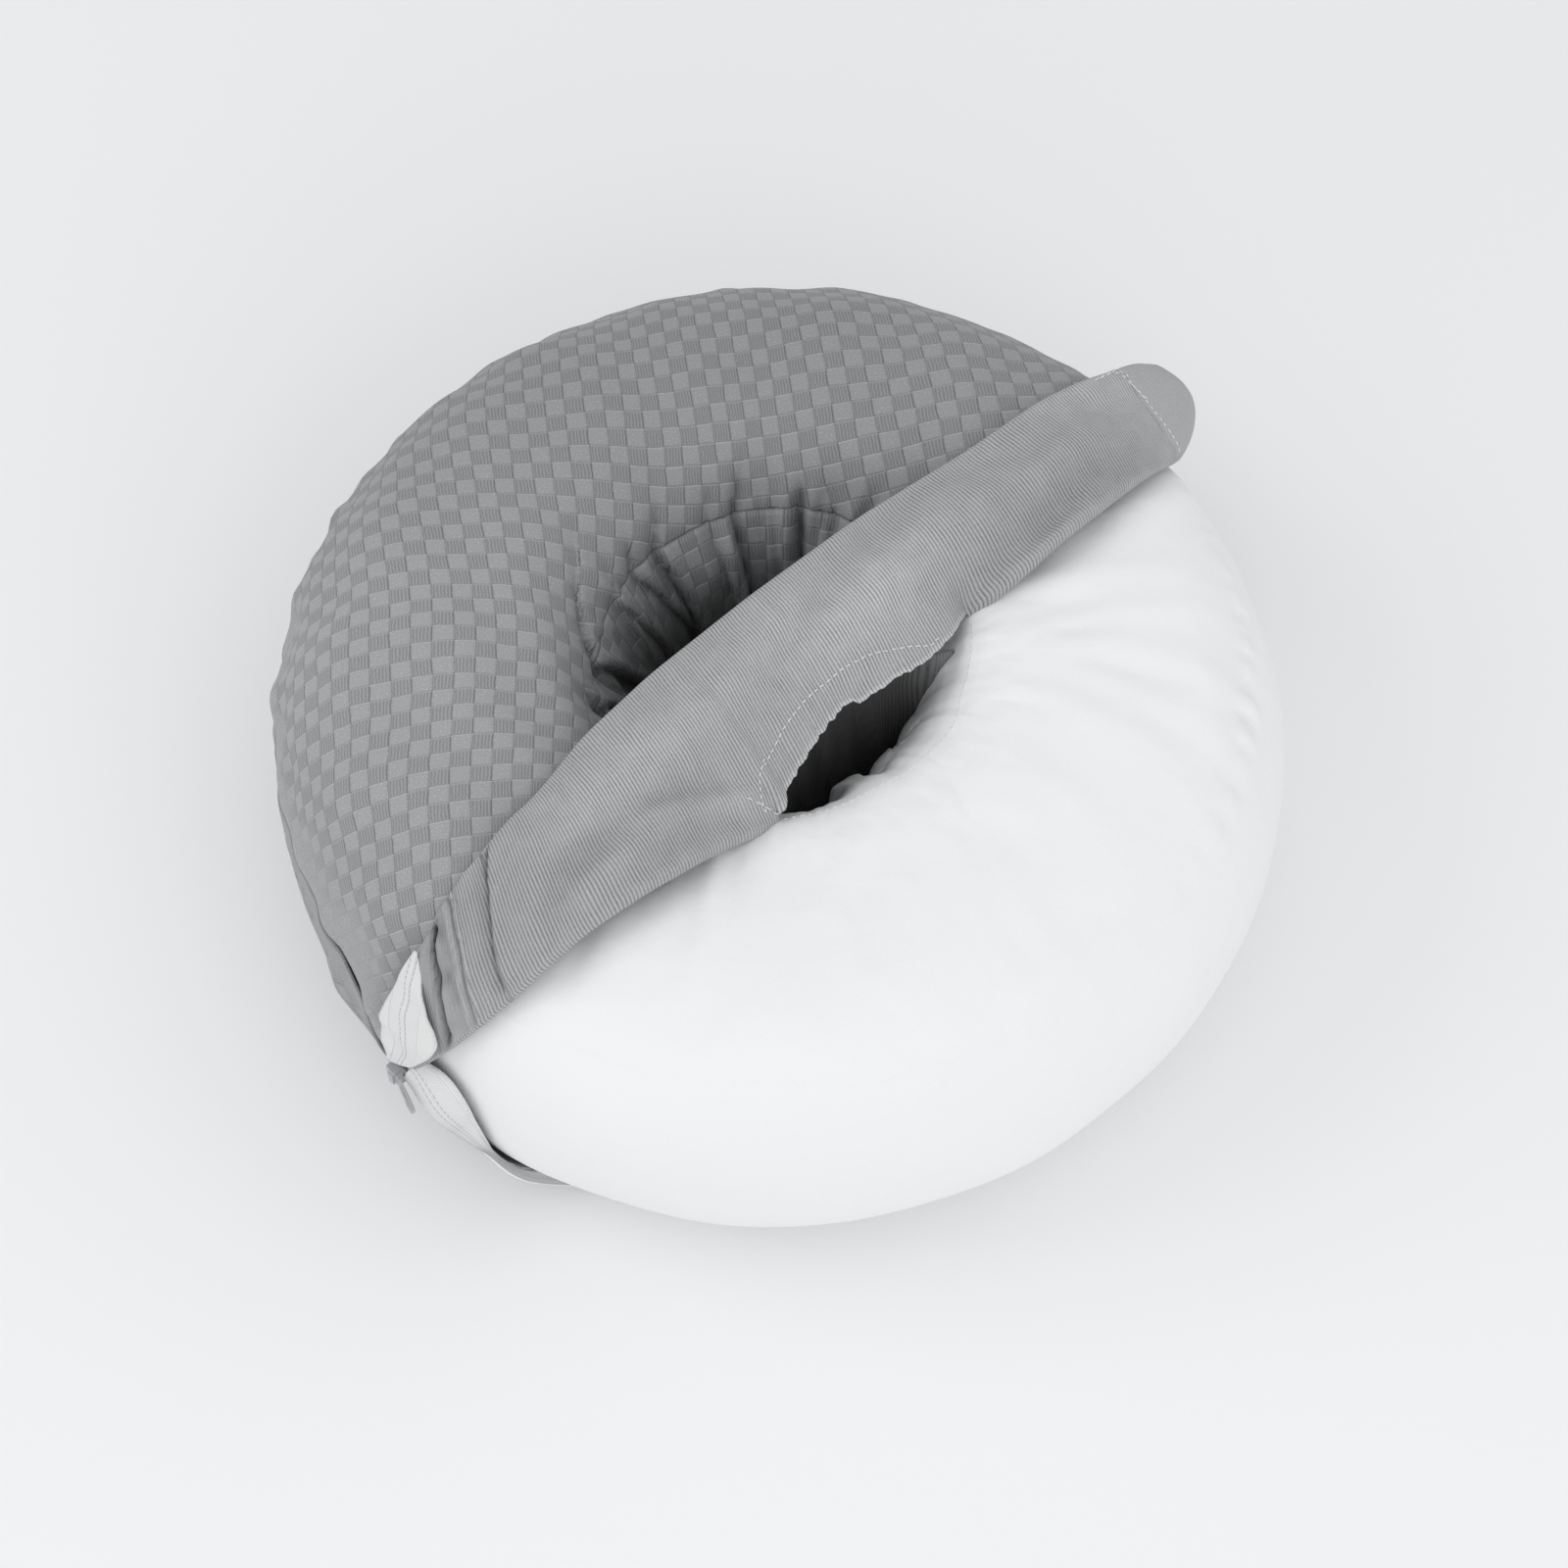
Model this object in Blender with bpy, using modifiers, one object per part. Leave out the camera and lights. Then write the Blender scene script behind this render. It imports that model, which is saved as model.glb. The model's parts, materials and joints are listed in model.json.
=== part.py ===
"""Donut ear pillow: a filled ring in a zip-off cover that is folded half back along a diagonal.

Sizes are metres, +Z is up, and the ring lies on its back with its hole's axis on Z. The fold has its own
directions: along the band of turned-back cloth, and across it, towards the bare half of the ring.
"""

import math

import bmesh
import bpy
from mathutils import Matrix, Vector

# Filled ring.
RING_RADIUS = 0.104
TUBE_HALF_WIDTH = 0.0545
TUBE_HALF_HEIGHT = 0.0660
TUBE_LEVEL = 0.0615
SQUARENESS = 2 / 2.35
PILLOW_BASE = 0.0026
PILLOW_TURNS = 72
PILLOW_RINGS = 26
SEAM_ANGLE = math.radians(41.5)
SEAM_DEPTH = 0.0014
RIM_ANGLE = math.radians(137)
RIM_ANGLE_LEFT = math.radians(130)
SEAM_HALF_ANGLE = 0.10
RIM_HALF_ANGLE = 0.20
PUCKERS = 18
PUCKER_DEPTH = 0.0016
RIDGE_FADE = 0.30

# How unevenly the ring is filled: waves round it in the half width and the half height of its section.
UNEVEN_WIDTH = [{"waves": 3, "size": 0.0006, "start": 0.4}]
UNEVEN_HEIGHT = [{"waves": 2, "size": 0.0008, "start": 1.1}, {"waves": 5, "size": 0.0005, "start": 0.0}]

# Soft radial ridges of the bare filled ring: the turn of the middle of each, how far it runs over the
# section, and its size.
RIDGES = [
    {"turn": 11, "from_angle": 60, "to_angle": 120, "half_turn": 4, "height": 0.0016},
    {"turn": -3, "from_angle": 45, "to_angle": 125, "half_turn": 4, "height": 0.0014},
    {"turn": -19, "from_angle": 40, "to_angle": 110, "half_turn": 5, "height": 0.0018},
    {"turn": -48, "from_angle": 60, "to_angle": 130, "half_turn": 4, "height": 0.0010},
    {"turn": -104, "from_angle": 70, "to_angle": 125, "half_turn": 4, "height": 0.0015},
]

# Cover cloth.
CLOTH = 0.0012
COVER_LIFT = 0.0026
ZIP_ANGLE = math.radians(15)
ZIP_DIP_ANGLE = math.radians(18.5)
ZIP_DIP_TURN = math.radians(-137)
ZIP_DIP_WIDTH = math.radians(8)

# Fold of the top panel. Offsets are across the fold, from the hole's centre to the low crease.
FOLD_TURN = math.radians(41.5)
CREASE_LEFT = 0.0450
CREASE_LEFT_ZIP = 0.0130
CREASE_RIGHT = 0.0345
CREASE_RIGHT_ZIP = 0.0260
CREASE_BEND_FROM = math.radians(-10)
CREASE_BEND_TO = math.radians(60)
PANEL_RIGHT = math.radians(9.2)
PANEL_LEFT = math.radians(-184.6)
RIM_LEFT_FROM = 0.86
PANEL_TURNS = 40
PANEL_RINGS = 11
BRIDGE_COLUMNS = 10
BRIDGE_RISE = 0.009
END_BOW = 0.006

# The fold's high edge: for a place along the low crease, where the high edge lies and how high.
HIGH_EDGE = [
    {"low_along": -0.161, "along": -0.150, "across": 0.006, "level": 0.110},
    {"low_along": -0.158, "along": -0.143, "across": 0.008, "level": 0.118},
    {"low_along": -0.150, "along": -0.131, "across": 0.003, "level": 0.126},
    {"low_along": -0.136, "along": -0.118, "across": 0.000, "level": 0.129},
    {"low_along": -0.115, "along": -0.100, "across": -0.003, "level": 0.130},
    {"low_along": -0.079, "along": -0.072, "across": -0.010, "level": 0.129},
    {"low_along": -0.044, "along": -0.042, "across": -0.013, "level": 0.127},
    {"low_along": 0.000, "along": 0.000, "across": -0.015, "level": 0.126},
    {"low_along": 0.046, "along": 0.044, "across": -0.015, "level": 0.127},
    {"low_along": 0.095, "along": 0.098, "across": -0.009, "level": 0.129},
    {"low_along": 0.128, "along": 0.137, "across": -0.007, "level": 0.127},
    {"low_along": 0.145, "along": 0.155, "across": -0.005, "level": 0.121},
    {"low_along": 0.157, "along": 0.163, "across": -0.001, "level": 0.114},
]

# Levels of the folded layers over the cloth they lie on, and how far a fold's loop stands out.
LAYER_TWO = 0.0022
LAYER_THREE = 0.0042
LAYER_TOP = 0.0064
LAYER_PUFF = 0.34
LEAST_STACK_RISE = 0.02
SLOPE_STEP = 0.04
BAND_STEPS = 8

# The turned-back cloth's section: the heights of its low loop as shares of the layers' height, how far each
# stands out as a share of the loop, and the tucked rows' shares of the way from the low crease to the high edge.
LOW_LOOP = [{"height": 0.2, "out": -1.0}, {"height": 0.6, "out": -1.0}]
TOP_START = {"height": 0.93, "out": -0.3}
HIGH_LOOP_DROP = 0.0018
HIGH_LOOP_RISE = 0.0006
LOWER_LOOP_SHARE = 0.9
THIRD_LAYER_GAP = 0.0004
TUCK_START = 0.95
TUCK_MIDDLES = (0.35, 0.70)
TUCK_TURN = -0.0011
TUCK_END = 0.80
LAYER_SINGLE = 0.0027
SINGLE_LEFT = -0.1465
SINGLE_RIGHT = 0.1385
LAYER_RAMP = 0.018
LOOP = 0.0024
TUCK_SHARE = 0.22
TUCK_SHARE_AT_HOLE = 0.20
TUCK_WIDTH = 0.055

# Tube that lines the hole. Its far half hugs the filled ring, and its near half hangs from the folded cloth.
WALL_TURNS = 60
WALL_ROWS = 8
WALL_TOP_ANGLE = math.radians(138.6)
WALL_LIFT = 0.0026
WALL_FOOT_RADIUS = 0.0560
WALL_FOOT_LEVEL = 0.0012
ARC_ACROSS = 0.0285
ARC_MIDDLE = -0.008
ARC_CURVE = 7.5
ARC_MARGIN = 0.0025
ARC_SEARCH_RADIUS = 0.09
ARC_SEARCH_STEPS = 30
ARC_BLEND = 0.016
HANG_GAP = 0.0024
PLEATS = 15
PLEAT_DEPTH = 0.0016

# Under panel.
UNDER_HOLE_RADIUS = 0.0590
UNDER_FLAT_RADIUS = 0.1260
UNDER_LIFT = 0.0016
UNDER_TURNS = 52
OPEN_REACH_STEP = 0.06
UNDER_RINGS = 13
UNDER_FIRST_ANGLE = math.radians(-66)
UNDER_CLIMB = 0.100
UNDER_REACH = 0.97
UNDER_LIFT_OFF = 0.12
SLIDER_NOTCH = 0.0032
SLIDER_NOTCH_WIDTH = math.radians(5)
OPEN_MIDDLE = math.radians(-50)

# The under panel's edge where the zip is open: its reach up the flank at a turn, and how far the tape, which is
# turned down over it, leans out.
OPEN_EDGE = [
    {"turn": -135, "reach": 0.97, "lean": 0.28},
    {"turn": -131, "reach": 0.955, "lean": 0.30},
    {"turn": -129, "reach": 0.945, "lean": 0.34},
    {"turn": -127, "reach": 0.89, "lean": 0.36},
    {"turn": -126, "reach": 0.84, "lean": 0.38},
    {"turn": -124, "reach": 0.72, "lean": 0.38},
    {"turn": -120, "reach": 0.59, "lean": 0.34},
    {"turn": -115, "reach": 0.49, "lean": 0.20},
    {"turn": -110, "reach": 0.33, "lean": 0.06},
    {"turn": -102, "reach": -0.09, "lean": 0.0},
    {"turn": -14, "reach": -0.09, "lean": 0.0},
    {"turn": -6, "reach": 0.30, "lean": 0.05},
    {"turn": 6, "reach": 0.55, "lean": 0.10},
    {"turn": 18, "reach": 0.80, "lean": 0.12},
    {"turn": 26, "reach": 0.94, "lean": 0.10},
    {"turn": 31, "reach": 0.97, "lean": 0.04},
]

# Zip. The upper tape's rows run up from the slider: the turn and section angle of each edge, in degrees.
TAPE = 0.0010
TAPE_WIDTH = 0.0150
TAPE_START = math.radians(3.2)
TAPE_LEAST_STEP = math.radians(1)
TWIST_REACH = 0.32
TWIST_BULGE = 0.0045
TWIST_RISE = 0.0006
TAPE_CLEARANCE = 0.0008
TAPE_FLAT_CLEARANCE = 0.0030
TAPE_COLUMNS = 4
UPPER_TAPE_LIFT = 0.0085
UPPER_TAPE = [
    {"left_turn": -139.0, "left_angle": 1, "right_turn": -134.0, "right_angle": 2},
    {"left_turn": -139.0, "left_angle": 7, "right_turn": -130.5, "right_angle": 13},
    {"left_turn": -138.5, "left_angle": 17, "right_turn": -129.8, "right_angle": 23},
    {"left_turn": -137.8, "left_angle": 27, "right_turn": -130.6, "right_angle": 32},
    {"left_turn": -136.8, "left_angle": 35, "right_turn": -133.4, "right_angle": 38},
    {"left_turn": -136.2, "left_angle": 39, "right_turn": -135.1, "right_angle": 40},
]
SLIDER_TURN = math.radians(-135.8)
SLIDER_LEVEL = 0.0515
SLIDER_LIFT = 0.0056
SLIDER_LENGTH = 0.0090
SLIDER_WIDTH = 0.0072
SLIDER_DEPTH = 0.0034
SLIDER_ROUNDING = 0.0012
PULL_TOP_TURN = math.radians(-135.5)
PULL_END_TURN = math.radians(-132.7)
PULL_TOP_LEVEL = 0.0530
PULL_END_LEVEL = 0.0390
PULL_RADIUS = 0.1685
PULL_WIDTH = 0.0042
PULL_NECK = 0.0022
PULL_NECK_SHARE = 0.12
PULL_BELLY_SHARE = 0.78
PULL_THICKNESS = 0.0012

ALONG = Vector((math.cos(FOLD_TURN), math.sin(FOLD_TURN), 0.0))
ACROSS = Vector((math.sin(FOLD_TURN), -math.cos(FOLD_TURN), 0.0))
UP = Vector((0.0, 0.0, 1.0))


def mix(first, second, share):
    """The value or point at a share of the way from the first to the second."""
    return first + (second - first) * share


def ease(value, low, high):
    """0 below low, 1 above high, and a smooth step between them."""
    share = min(max((value - low) / (high - low), 0.0), 1.0)
    return share * share * (3 - 2 * share)


def bump(value, middle, half_width):
    """1 at the middle, falling smoothly to nothing."""
    return math.exp(-(((value - middle) / half_width) ** 2))


def turn_between(first, second):
    """The signed turn from the second angle to the first."""
    return math.remainder(first - second, 2 * math.pi)


def signed_power(value, power):
    """A power that keeps the value's sign."""
    return math.copysign(abs(value) ** power, value)


def wave_at(wave, turn):
    """The height of a wave round the ring at a turn."""
    return wave["size"] * math.sin(wave["waves"] * turn + wave["start"])


def section_size(turn):
    """Half width and half height of the ring's section, a little uneven round the ring."""
    width = TUBE_HALF_WIDTH + sum(wave_at(wave, turn) for wave in UNEVEN_WIDTH)
    height = TUBE_HALF_HEIGHT + sum(wave_at(wave, turn) for wave in UNEVEN_HEIGHT)
    return width, height


def skin(turn, angle, lift):
    """A point on the filled ring's skin, pushed out by lift. The angle runs round the section."""
    width, height = section_size(turn)
    radius = RING_RADIUS + (width + lift) * signed_power(math.cos(angle), SQUARENESS)
    level = TUBE_LEVEL + (height + lift) * signed_power(math.sin(angle), SQUARENESS)
    return at(turn, radius, max(level, PILLOW_BASE - lift))


def at(turn, radius, level):
    """A point from its turn round Z, its radius and its level."""
    return Vector((radius * math.cos(turn), radius * math.sin(turn), level))


def pushed_out(point, lift):
    """The point, moved out from the middle of the ring's tube where it would be under the skin plus lift."""
    turn = math.atan2(point.y, point.x)
    width, height = section_size(turn)
    out = math.hypot(point.x, point.y) - RING_RADIUS
    rise = point.z - TUBE_LEVEL
    power = 2 / SQUARENESS
    reach = (abs(out) / (width + lift)) ** power + (abs(rise) / (height + lift)) ** power
    scale = max(1.0, reach ** (-1 / power))
    return at(turn, RING_RADIUS + out * scale, TUBE_LEVEL + rise * scale)


def stack_direction(point):
    """The way that layers pile up: straight up inside the ring's crest, and away from its tube outside it."""
    turn = math.atan2(point.y, point.x)
    out = max(math.hypot(point.x, point.y) - RING_RADIUS, 0.0)
    return at(turn, out, max(point.z - TUBE_LEVEL, LEAST_STACK_RISE)).normalized()


def zip_angle(turn):
    """Section angle of the zip seam, which dips at the slider."""
    return ZIP_ANGLE - ZIP_DIP_ANGLE * bump(turn_between(turn, ZIP_DIP_TURN), 0.0, ZIP_DIP_WIDTH)


def build_faces(mesh, grid, closed):
    """Fills a grid of vertices, in rows of columns, with quads. An empty place leaves a hole."""
    for low, high in zip(grid, grid[1:]):
        pairs = list(zip(low, high))
        following = pairs[1:] + pairs[:1] if closed else pairs[1:]
        for (a, b), (d, c) in zip(pairs, following):
            if None not in (a, b, c, d):
                mesh.faces.new((a, b, c, d))


def sheet_object(name, mesh, thickness, material, even=True):
    """An object from an open surface, thickened on both sides, evenly unless it twists sharply."""
    bmesh.ops.recalc_face_normals(mesh, faces=mesh.faces)
    data = bpy.data.meshes.new(name)
    mesh.to_mesh(data)
    mesh.free()
    data.shade_smooth()
    sheet = bpy.data.objects.new(name, data)
    shell = sheet.modifiers.new("thickness", "SOLIDIFY")
    shell.thickness = thickness
    shell.offset = 0.0
    shell.use_even_offset = even
    data.materials.append(material)
    return sheet


def material(name, colour, roughness, metallic=0.0):
    """A plain Principled finish."""
    finish = bpy.data.materials.new(name)
    finish.use_nodes = True
    shader = finish.node_tree.nodes["Principled BSDF"]
    shader.inputs["Base Color"].default_value = (*colour, 1.0)
    shader.inputs["Roughness"].default_value = roughness
    shader.inputs["Metallic"].default_value = metallic
    return finish


def ridge_height(turn, angle):
    """Height of the soft radial ridges at a place on the skin."""
    height = 0.0
    for ridge in RIDGES:
        side = bump(turn_between(turn, math.radians(ridge["turn"])), 0.0, math.radians(ridge["half_turn"]))
        start, end = math.radians(ridge["from_angle"]), math.radians(ridge["to_angle"])
        run = ease(angle, start - RIDGE_FADE, start) * (1 - ease(angle, end, end + RIDGE_FADE))
        height += ridge["height"] * side * run
    return height


def pillow_lift(turn, angle):
    """How far the filled ring's skin stands in or out: its seams draw it in, and the rim is puckered."""
    seam = SEAM_DEPTH * bump(angle, SEAM_ANGLE, SEAM_HALF_ANGLE)
    rim = bump(angle, RIM_ANGLE, RIM_HALF_ANGLE)
    pucker = PUCKER_DEPTH * (0.5 - 0.5 * math.cos(PUCKERS * turn)) * rim
    return ridge_height(turn, angle) * (1 - rim) - seam - pucker - SEAM_DEPTH * 0.5 * rim


def add_inner_pillow():
    """The filled ring, shaped from a torus."""
    bpy.ops.mesh.primitive_torus_add(
        major_segments=PILLOW_TURNS,
        minor_segments=PILLOW_RINGS,
        major_radius=RING_RADIUS,
        minor_radius=TUBE_HALF_WIDTH,
    )
    pillow = bpy.context.object
    pillow.name = "inner_pillow"
    for vertex in pillow.data.vertices:
        point = vertex.co
        turn = math.atan2(point.y, point.x)
        angle = math.atan2(point.z, math.hypot(point.x, point.y) - RING_RADIUS)
        vertex.co = skin(turn, angle, pillow_lift(turn, angle))
        vertex.co.z = max(vertex.co.z, PILLOW_BASE)
    pillow.data.shade_smooth()
    pillow.data.materials.append(material("white_cotton", (0.86, 0.87, 0.88), 0.85))
    return pillow


def crease_offset(angle, crease, crease_at_zip):
    """How far across the low crease lies. It bends in towards the zip on the ring's flank."""
    return mix(crease_at_zip, crease, ease(angle, CREASE_BEND_FROM, CREASE_BEND_TO))


def panel_point(share, ring_share):
    """A point of the flat-lying part of the top panel, from the right crease round to the left one."""
    zip_turn = FOLD_TURN - mix(PANEL_RIGHT, PANEL_LEFT, share)
    rim_angle = mix(RIM_ANGLE, RIM_ANGLE_LEFT, ease(share, RIM_LEFT_FROM, 1.0))
    angle = mix(rim_angle, zip_angle(zip_turn), ring_share)
    radius = math.hypot(*skin(zip_turn, angle, COVER_LIFT).xy)
    right = math.asin(crease_offset(angle, CREASE_RIGHT, CREASE_RIGHT_ZIP) / radius)
    left = -math.pi - math.asin(crease_offset(angle, CREASE_LEFT, CREASE_LEFT_ZIP) / radius)
    return skin(FOLD_TURN - mix(right, left, share), angle, COVER_LIFT)


def high_edge_point(low_along):
    """The point of the fold's high edge that belongs to a place along the low crease."""
    rows = HIGH_EDGE
    place = min(max(low_along, rows[0]["low_along"]), rows[-1]["low_along"])
    for first, second in zip(rows, rows[1:]):
        if place <= second["low_along"]:
            break
    share = (place - first["low_along"]) / (second["low_along"] - first["low_along"])
    along, across, level = (mix(first[key], second[key], share) for key in ("along", "across", "level"))
    return ALONG * along + ACROSS * across + UP * level


def layer_height(along):
    """How high the turned-back cloth lies over the flat cloth: over its tucked layers, or alone at the ends."""
    inside = min(along - SINGLE_LEFT, SINGLE_RIGHT - along)
    return mix(LAYER_SINGLE, LAYER_TOP, ease(inside, 0.0, LAYER_RAMP))


def band_column(low, open_start):
    """The turned-back cloth's points over one place of the crease: up and back, under, and back once more."""
    along = low.dot(ALONG)
    high = high_edge_point(along)
    top = layer_height(along)
    loop = LOOP * top / LAYER_TOP

    bow = END_BOW * ease(along, SINGLE_RIGHT, HIGH_EDGE[-1]["low_along"])

    def support(share):
        place = mix(low, high, share) + ALONG * bow * math.sin(math.pi * share)
        place.z = mix(low.z, high.z, 1 - (1 - share) ** 2)
        return pushed_out(place, COVER_LIFT)

    def layer(share, height, stand_out=0.0):
        place = support(share)
        away = support(min(share + SLOPE_STEP, 1.0)) - support(max(share - SLOPE_STEP, 0.0))
        return place + stack_direction(place) * height + away.normalized() * stand_out

    points = [low] + [layer(0.0, top * row["height"], loop * row["out"]) for row in LOW_LOOP]
    if open_start:
        points = [None] * len(points)
    points.append(layer(0.0, top * TOP_START["height"], 0.0 if open_start else loop * TOP_START["out"]))
    for step in range(1, BAND_STEPS):
        share = step / BAND_STEPS
        points.append(layer(share, top * (1 + LAYER_PUFF * math.sin(math.pi * share))))
    points.append(layer(1.0, top * TOP_START["height"]))
    tucked = tucked_rows(along, top)
    tucked = [layer(row["share"], row["height"], row.get("out", 0.0)) for row in tucked]
    single = along < SINGLE_LEFT or along > SINGLE_RIGHT
    return points + ([None] * len(tucked) if single else tucked)


def tucked_rows(along, top):
    """The rows of the tucked layers: round the high edge, back over the flat cloth, and under once more."""
    tuck = TUCK_SHARE + TUCK_SHARE_AT_HOLE * bump(along, 0.0, TUCK_WIDTH)
    third = min(LAYER_THREE, top - LAYER_TWO + THIRD_LAYER_GAP)
    rows = [
        {"share": 1.0, "height": top - HIGH_LOOP_DROP, "out": LOOP},
        {"share": 1.0, "height": LAYER_TWO + HIGH_LOOP_RISE, "out": LOOP * LOWER_LOOP_SHARE},
    ]
    shares = [TUCK_START] + [mix(TUCK_START, tuck, middle) for middle in TUCK_MIDDLES] + [tuck]
    rows += [{"share": share, "height": LAYER_TWO} for share in shares]
    rows.append({"share": tuck, "height": mix(LAYER_TWO, third, 0.5), "out": TUCK_TURN})
    return rows + [{"share": share, "height": third} for share in (tuck, mix(tuck, TUCK_END, 0.5), TUCK_END)]


def bridge_low(share):
    """A point of the turned-back cloth's low edge over the hole, from its left to its right corner."""
    arch = 4 * share * (1 - share)
    return mix(panel_point(1.0, 0.0), panel_point(0.0, 0.0), share) + UP * BRIDGE_RISE * arch


def hanging_level(along, across, gap):
    """The level a gap under the turned-back cloth where it crosses the hole."""
    left, right = panel_point(1.0, 0.0).dot(ALONG), panel_point(0.0, 0.0).dot(ALONG)
    low = bridge_low(min(max((along - left) / (right - left), 0.0), 1.0))
    high = high_edge_point(along)
    share = (low.dot(ACROSS) - across) / (low.dot(ACROSS) - high.dot(ACROSS))
    share = min(max(share, 0.0), 1.0)
    rise = layer_height(along) * (1 + LAYER_PUFF * math.sin(math.pi * share))
    return mix(low.z, high.z, 1 - (1 - share) ** 2) + rise - gap


def add_top_panel(cloth):
    """The check panel in one sheet, with its near half turned back over the diagonal."""
    mesh = bmesh.new()
    rings = range(PANEL_RINGS + 1)
    flat = [
        [mesh.verts.new(panel_point(turn / PANEL_TURNS, ring / PANEL_RINGS)) for ring in rings]
        for turn in range(PANEL_TURNS + 1)
    ]
    build_faces(mesh, flat, closed=False)
    left, right = flat[-1][::-1], flat[0]
    columns = [(vertex.co.copy(), vertex) for vertex in left]
    columns += [(bridge_low(step / (BRIDGE_COLUMNS + 1)), None) for step in range(1, BRIDGE_COLUMNS + 1)]
    columns += [(vertex.co.copy(), vertex) for vertex in right]
    band = []
    for low, shared in columns:
        points = band_column(low, open_start=shared is None)
        made = [shared] + [point and mesh.verts.new(point) for point in points[1:]]
        band.append(made)
    build_faces(mesh, band, closed=False)
    return sheet_object("cover_top_panel", mesh, CLOTH, cloth)


def arc_across(along):
    """How far across the seam on the turned-back cloth lies. It stays inside the cloth's raw edge."""
    left, right = panel_point(1.0, 0.0), panel_point(0.0, 0.0)
    share = (along - left.dot(ALONG)) / (right.dot(ALONG) - left.dot(ALONG))
    raw_edge = mix(left.dot(ACROSS), right.dot(ACROSS), share)
    return min(ARC_ACROSS + ARC_CURVE * (along - ARC_MIDDLE) ** 2, raw_edge - ARC_MARGIN)


def arc_radius(turn):
    """Distance from the hole's axis to the seam on the folded cloth, at a turn from the fold's direction."""
    low, high = 0.0, ARC_SEARCH_RADIUS
    for _ in range(ARC_SEARCH_STEPS):
        radius = (low + high) / 2
        along, across = radius * math.cos(turn), radius * math.sin(turn)
        inside = across < arc_across(along)
        low, high = (radius, high) if inside else (low, radius)
    return radius


def hug_radius(turn, level):
    """Radius of the lining on the ring's inner flank at a level. Near the floor it runs out to the seam."""
    width, height = section_size(turn)
    if level < TUBE_LEVEL:
        drop = (TUBE_LEVEL - level) / (TUBE_LEVEL - WALL_FOOT_LEVEL)
        return mix(RING_RADIUS - width - WALL_LIFT, WALL_FOOT_RADIUS, drop**3)
    power = 2 / SQUARENESS
    rise = (level - TUBE_LEVEL) / (height + WALL_LIFT)
    return RING_RADIUS - (width + WALL_LIFT) * (1 - rise**power) ** (1 / power)


def wall_point(turn, share):
    """A point of the tube that lines the hole: share 0 is its foot, and 1 its top."""
    rim = skin(turn, WALL_TOP_ANGLE, WALL_LIFT)
    rim_radius = rim.to_2d().length
    from_fold = turn_between(FOLD_TURN, turn)
    arc = arc_radius(from_fold) if from_fold > 0 else rim_radius
    top_radius = min(arc, rim_radius)
    free = ease(rim_radius - top_radius, 0.0, ARC_BLEND)
    along, across = top_radius * math.cos(from_fold), top_radius * math.sin(from_fold)
    top_level = mix(rim.z, hanging_level(along, across, HANG_GAP), free) if free else rim.z
    level = mix(WALL_FOOT_LEVEL, top_level, share)
    hug = hug_radius(turn, min(level, rim.z))
    radius = min(mix(WALL_FOOT_RADIUS, top_radius, share), hug) if free else hug
    pleat = PLEAT_DEPTH * (0.5 - 0.5 * math.cos(PLEATS * turn)) * math.sin(math.pi * share)
    return at(turn, radius - pleat * (1 - free), level)


def add_hole_wall(cloth):
    """The tube of check cloth that lines the hole."""
    mesh = bmesh.new()
    grid = []
    for row in range(WALL_ROWS + 1):
        share = row / WALL_ROWS
        turns = [2 * math.pi * step / WALL_TURNS for step in range(WALL_TURNS)]
        grid.append([mesh.verts.new(wall_point(turn, share)) for turn in turns])
    build_faces(mesh, grid, closed=True)
    return sheet_object("cover_hole_wall", mesh, CLOTH, cloth)


def open_edge(turn):
    """The open edge's reach and lean at a turn."""
    degrees = math.degrees(OPEN_MIDDLE + turn_between(turn, OPEN_MIDDLE))
    for first, second in zip(OPEN_EDGE, OPEN_EDGE[1:]):
        if first["turn"] <= degrees <= second["turn"]:
            share = (degrees - first["turn"]) / (second["turn"] - first["turn"])
            return mix(first["reach"], second["reach"], share), mix(first["lean"], second["lean"], share)
    return UNDER_REACH, 0.0


def open_turns():
    """The turns of the open edge's corners: close together where it leaves the floor."""
    turns = []
    for first, second in zip(OPEN_EDGE, OPEN_EDGE[1:]):
        width = second["turn"] - first["turn"]
        climb = abs(second["reach"] - first["reach"])
        steps = math.ceil(max(width * UNDER_TURNS / 360, climb / OPEN_REACH_STEP))
        turns += [math.radians(first["turn"] + width * step / steps) for step in range(steps)]
    return turns + [math.radians(OPEN_EDGE[-1]["turn"])]


def under_point(turn, length, half_cloth):
    """A point of the under panel, by its distance out from the hole's edge: flat, then up the flank."""
    flat = UNDER_FLAT_RADIUS - UNDER_HOLE_RADIUS
    if length <= flat:
        return at(turn, UNDER_HOLE_RADIUS + length, half_cloth)
    share = (length - flat) / UNDER_CLIMB
    angle = mix(UNDER_FIRST_ANGLE, zip_angle(turn), share)
    point = skin(turn, angle, UNDER_LIFT + half_cloth)
    start = ease(share, 0.0, UNDER_LIFT_OFF)
    return Vector((point.x, point.y, max(mix(half_cloth, point.z, start), half_cloth)))


def under_edge_length(turn):
    """How far out the under panel reaches at a turn."""
    reach = UNDER_CLIMB * open_edge(turn)[0]
    notch = SLIDER_NOTCH * bump(turn_between(turn, SLIDER_TURN), 0.0, SLIDER_NOTCH_WIDTH)
    return UNDER_FLAT_RADIUS - UNDER_HOLE_RADIUS + reach - notch


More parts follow.
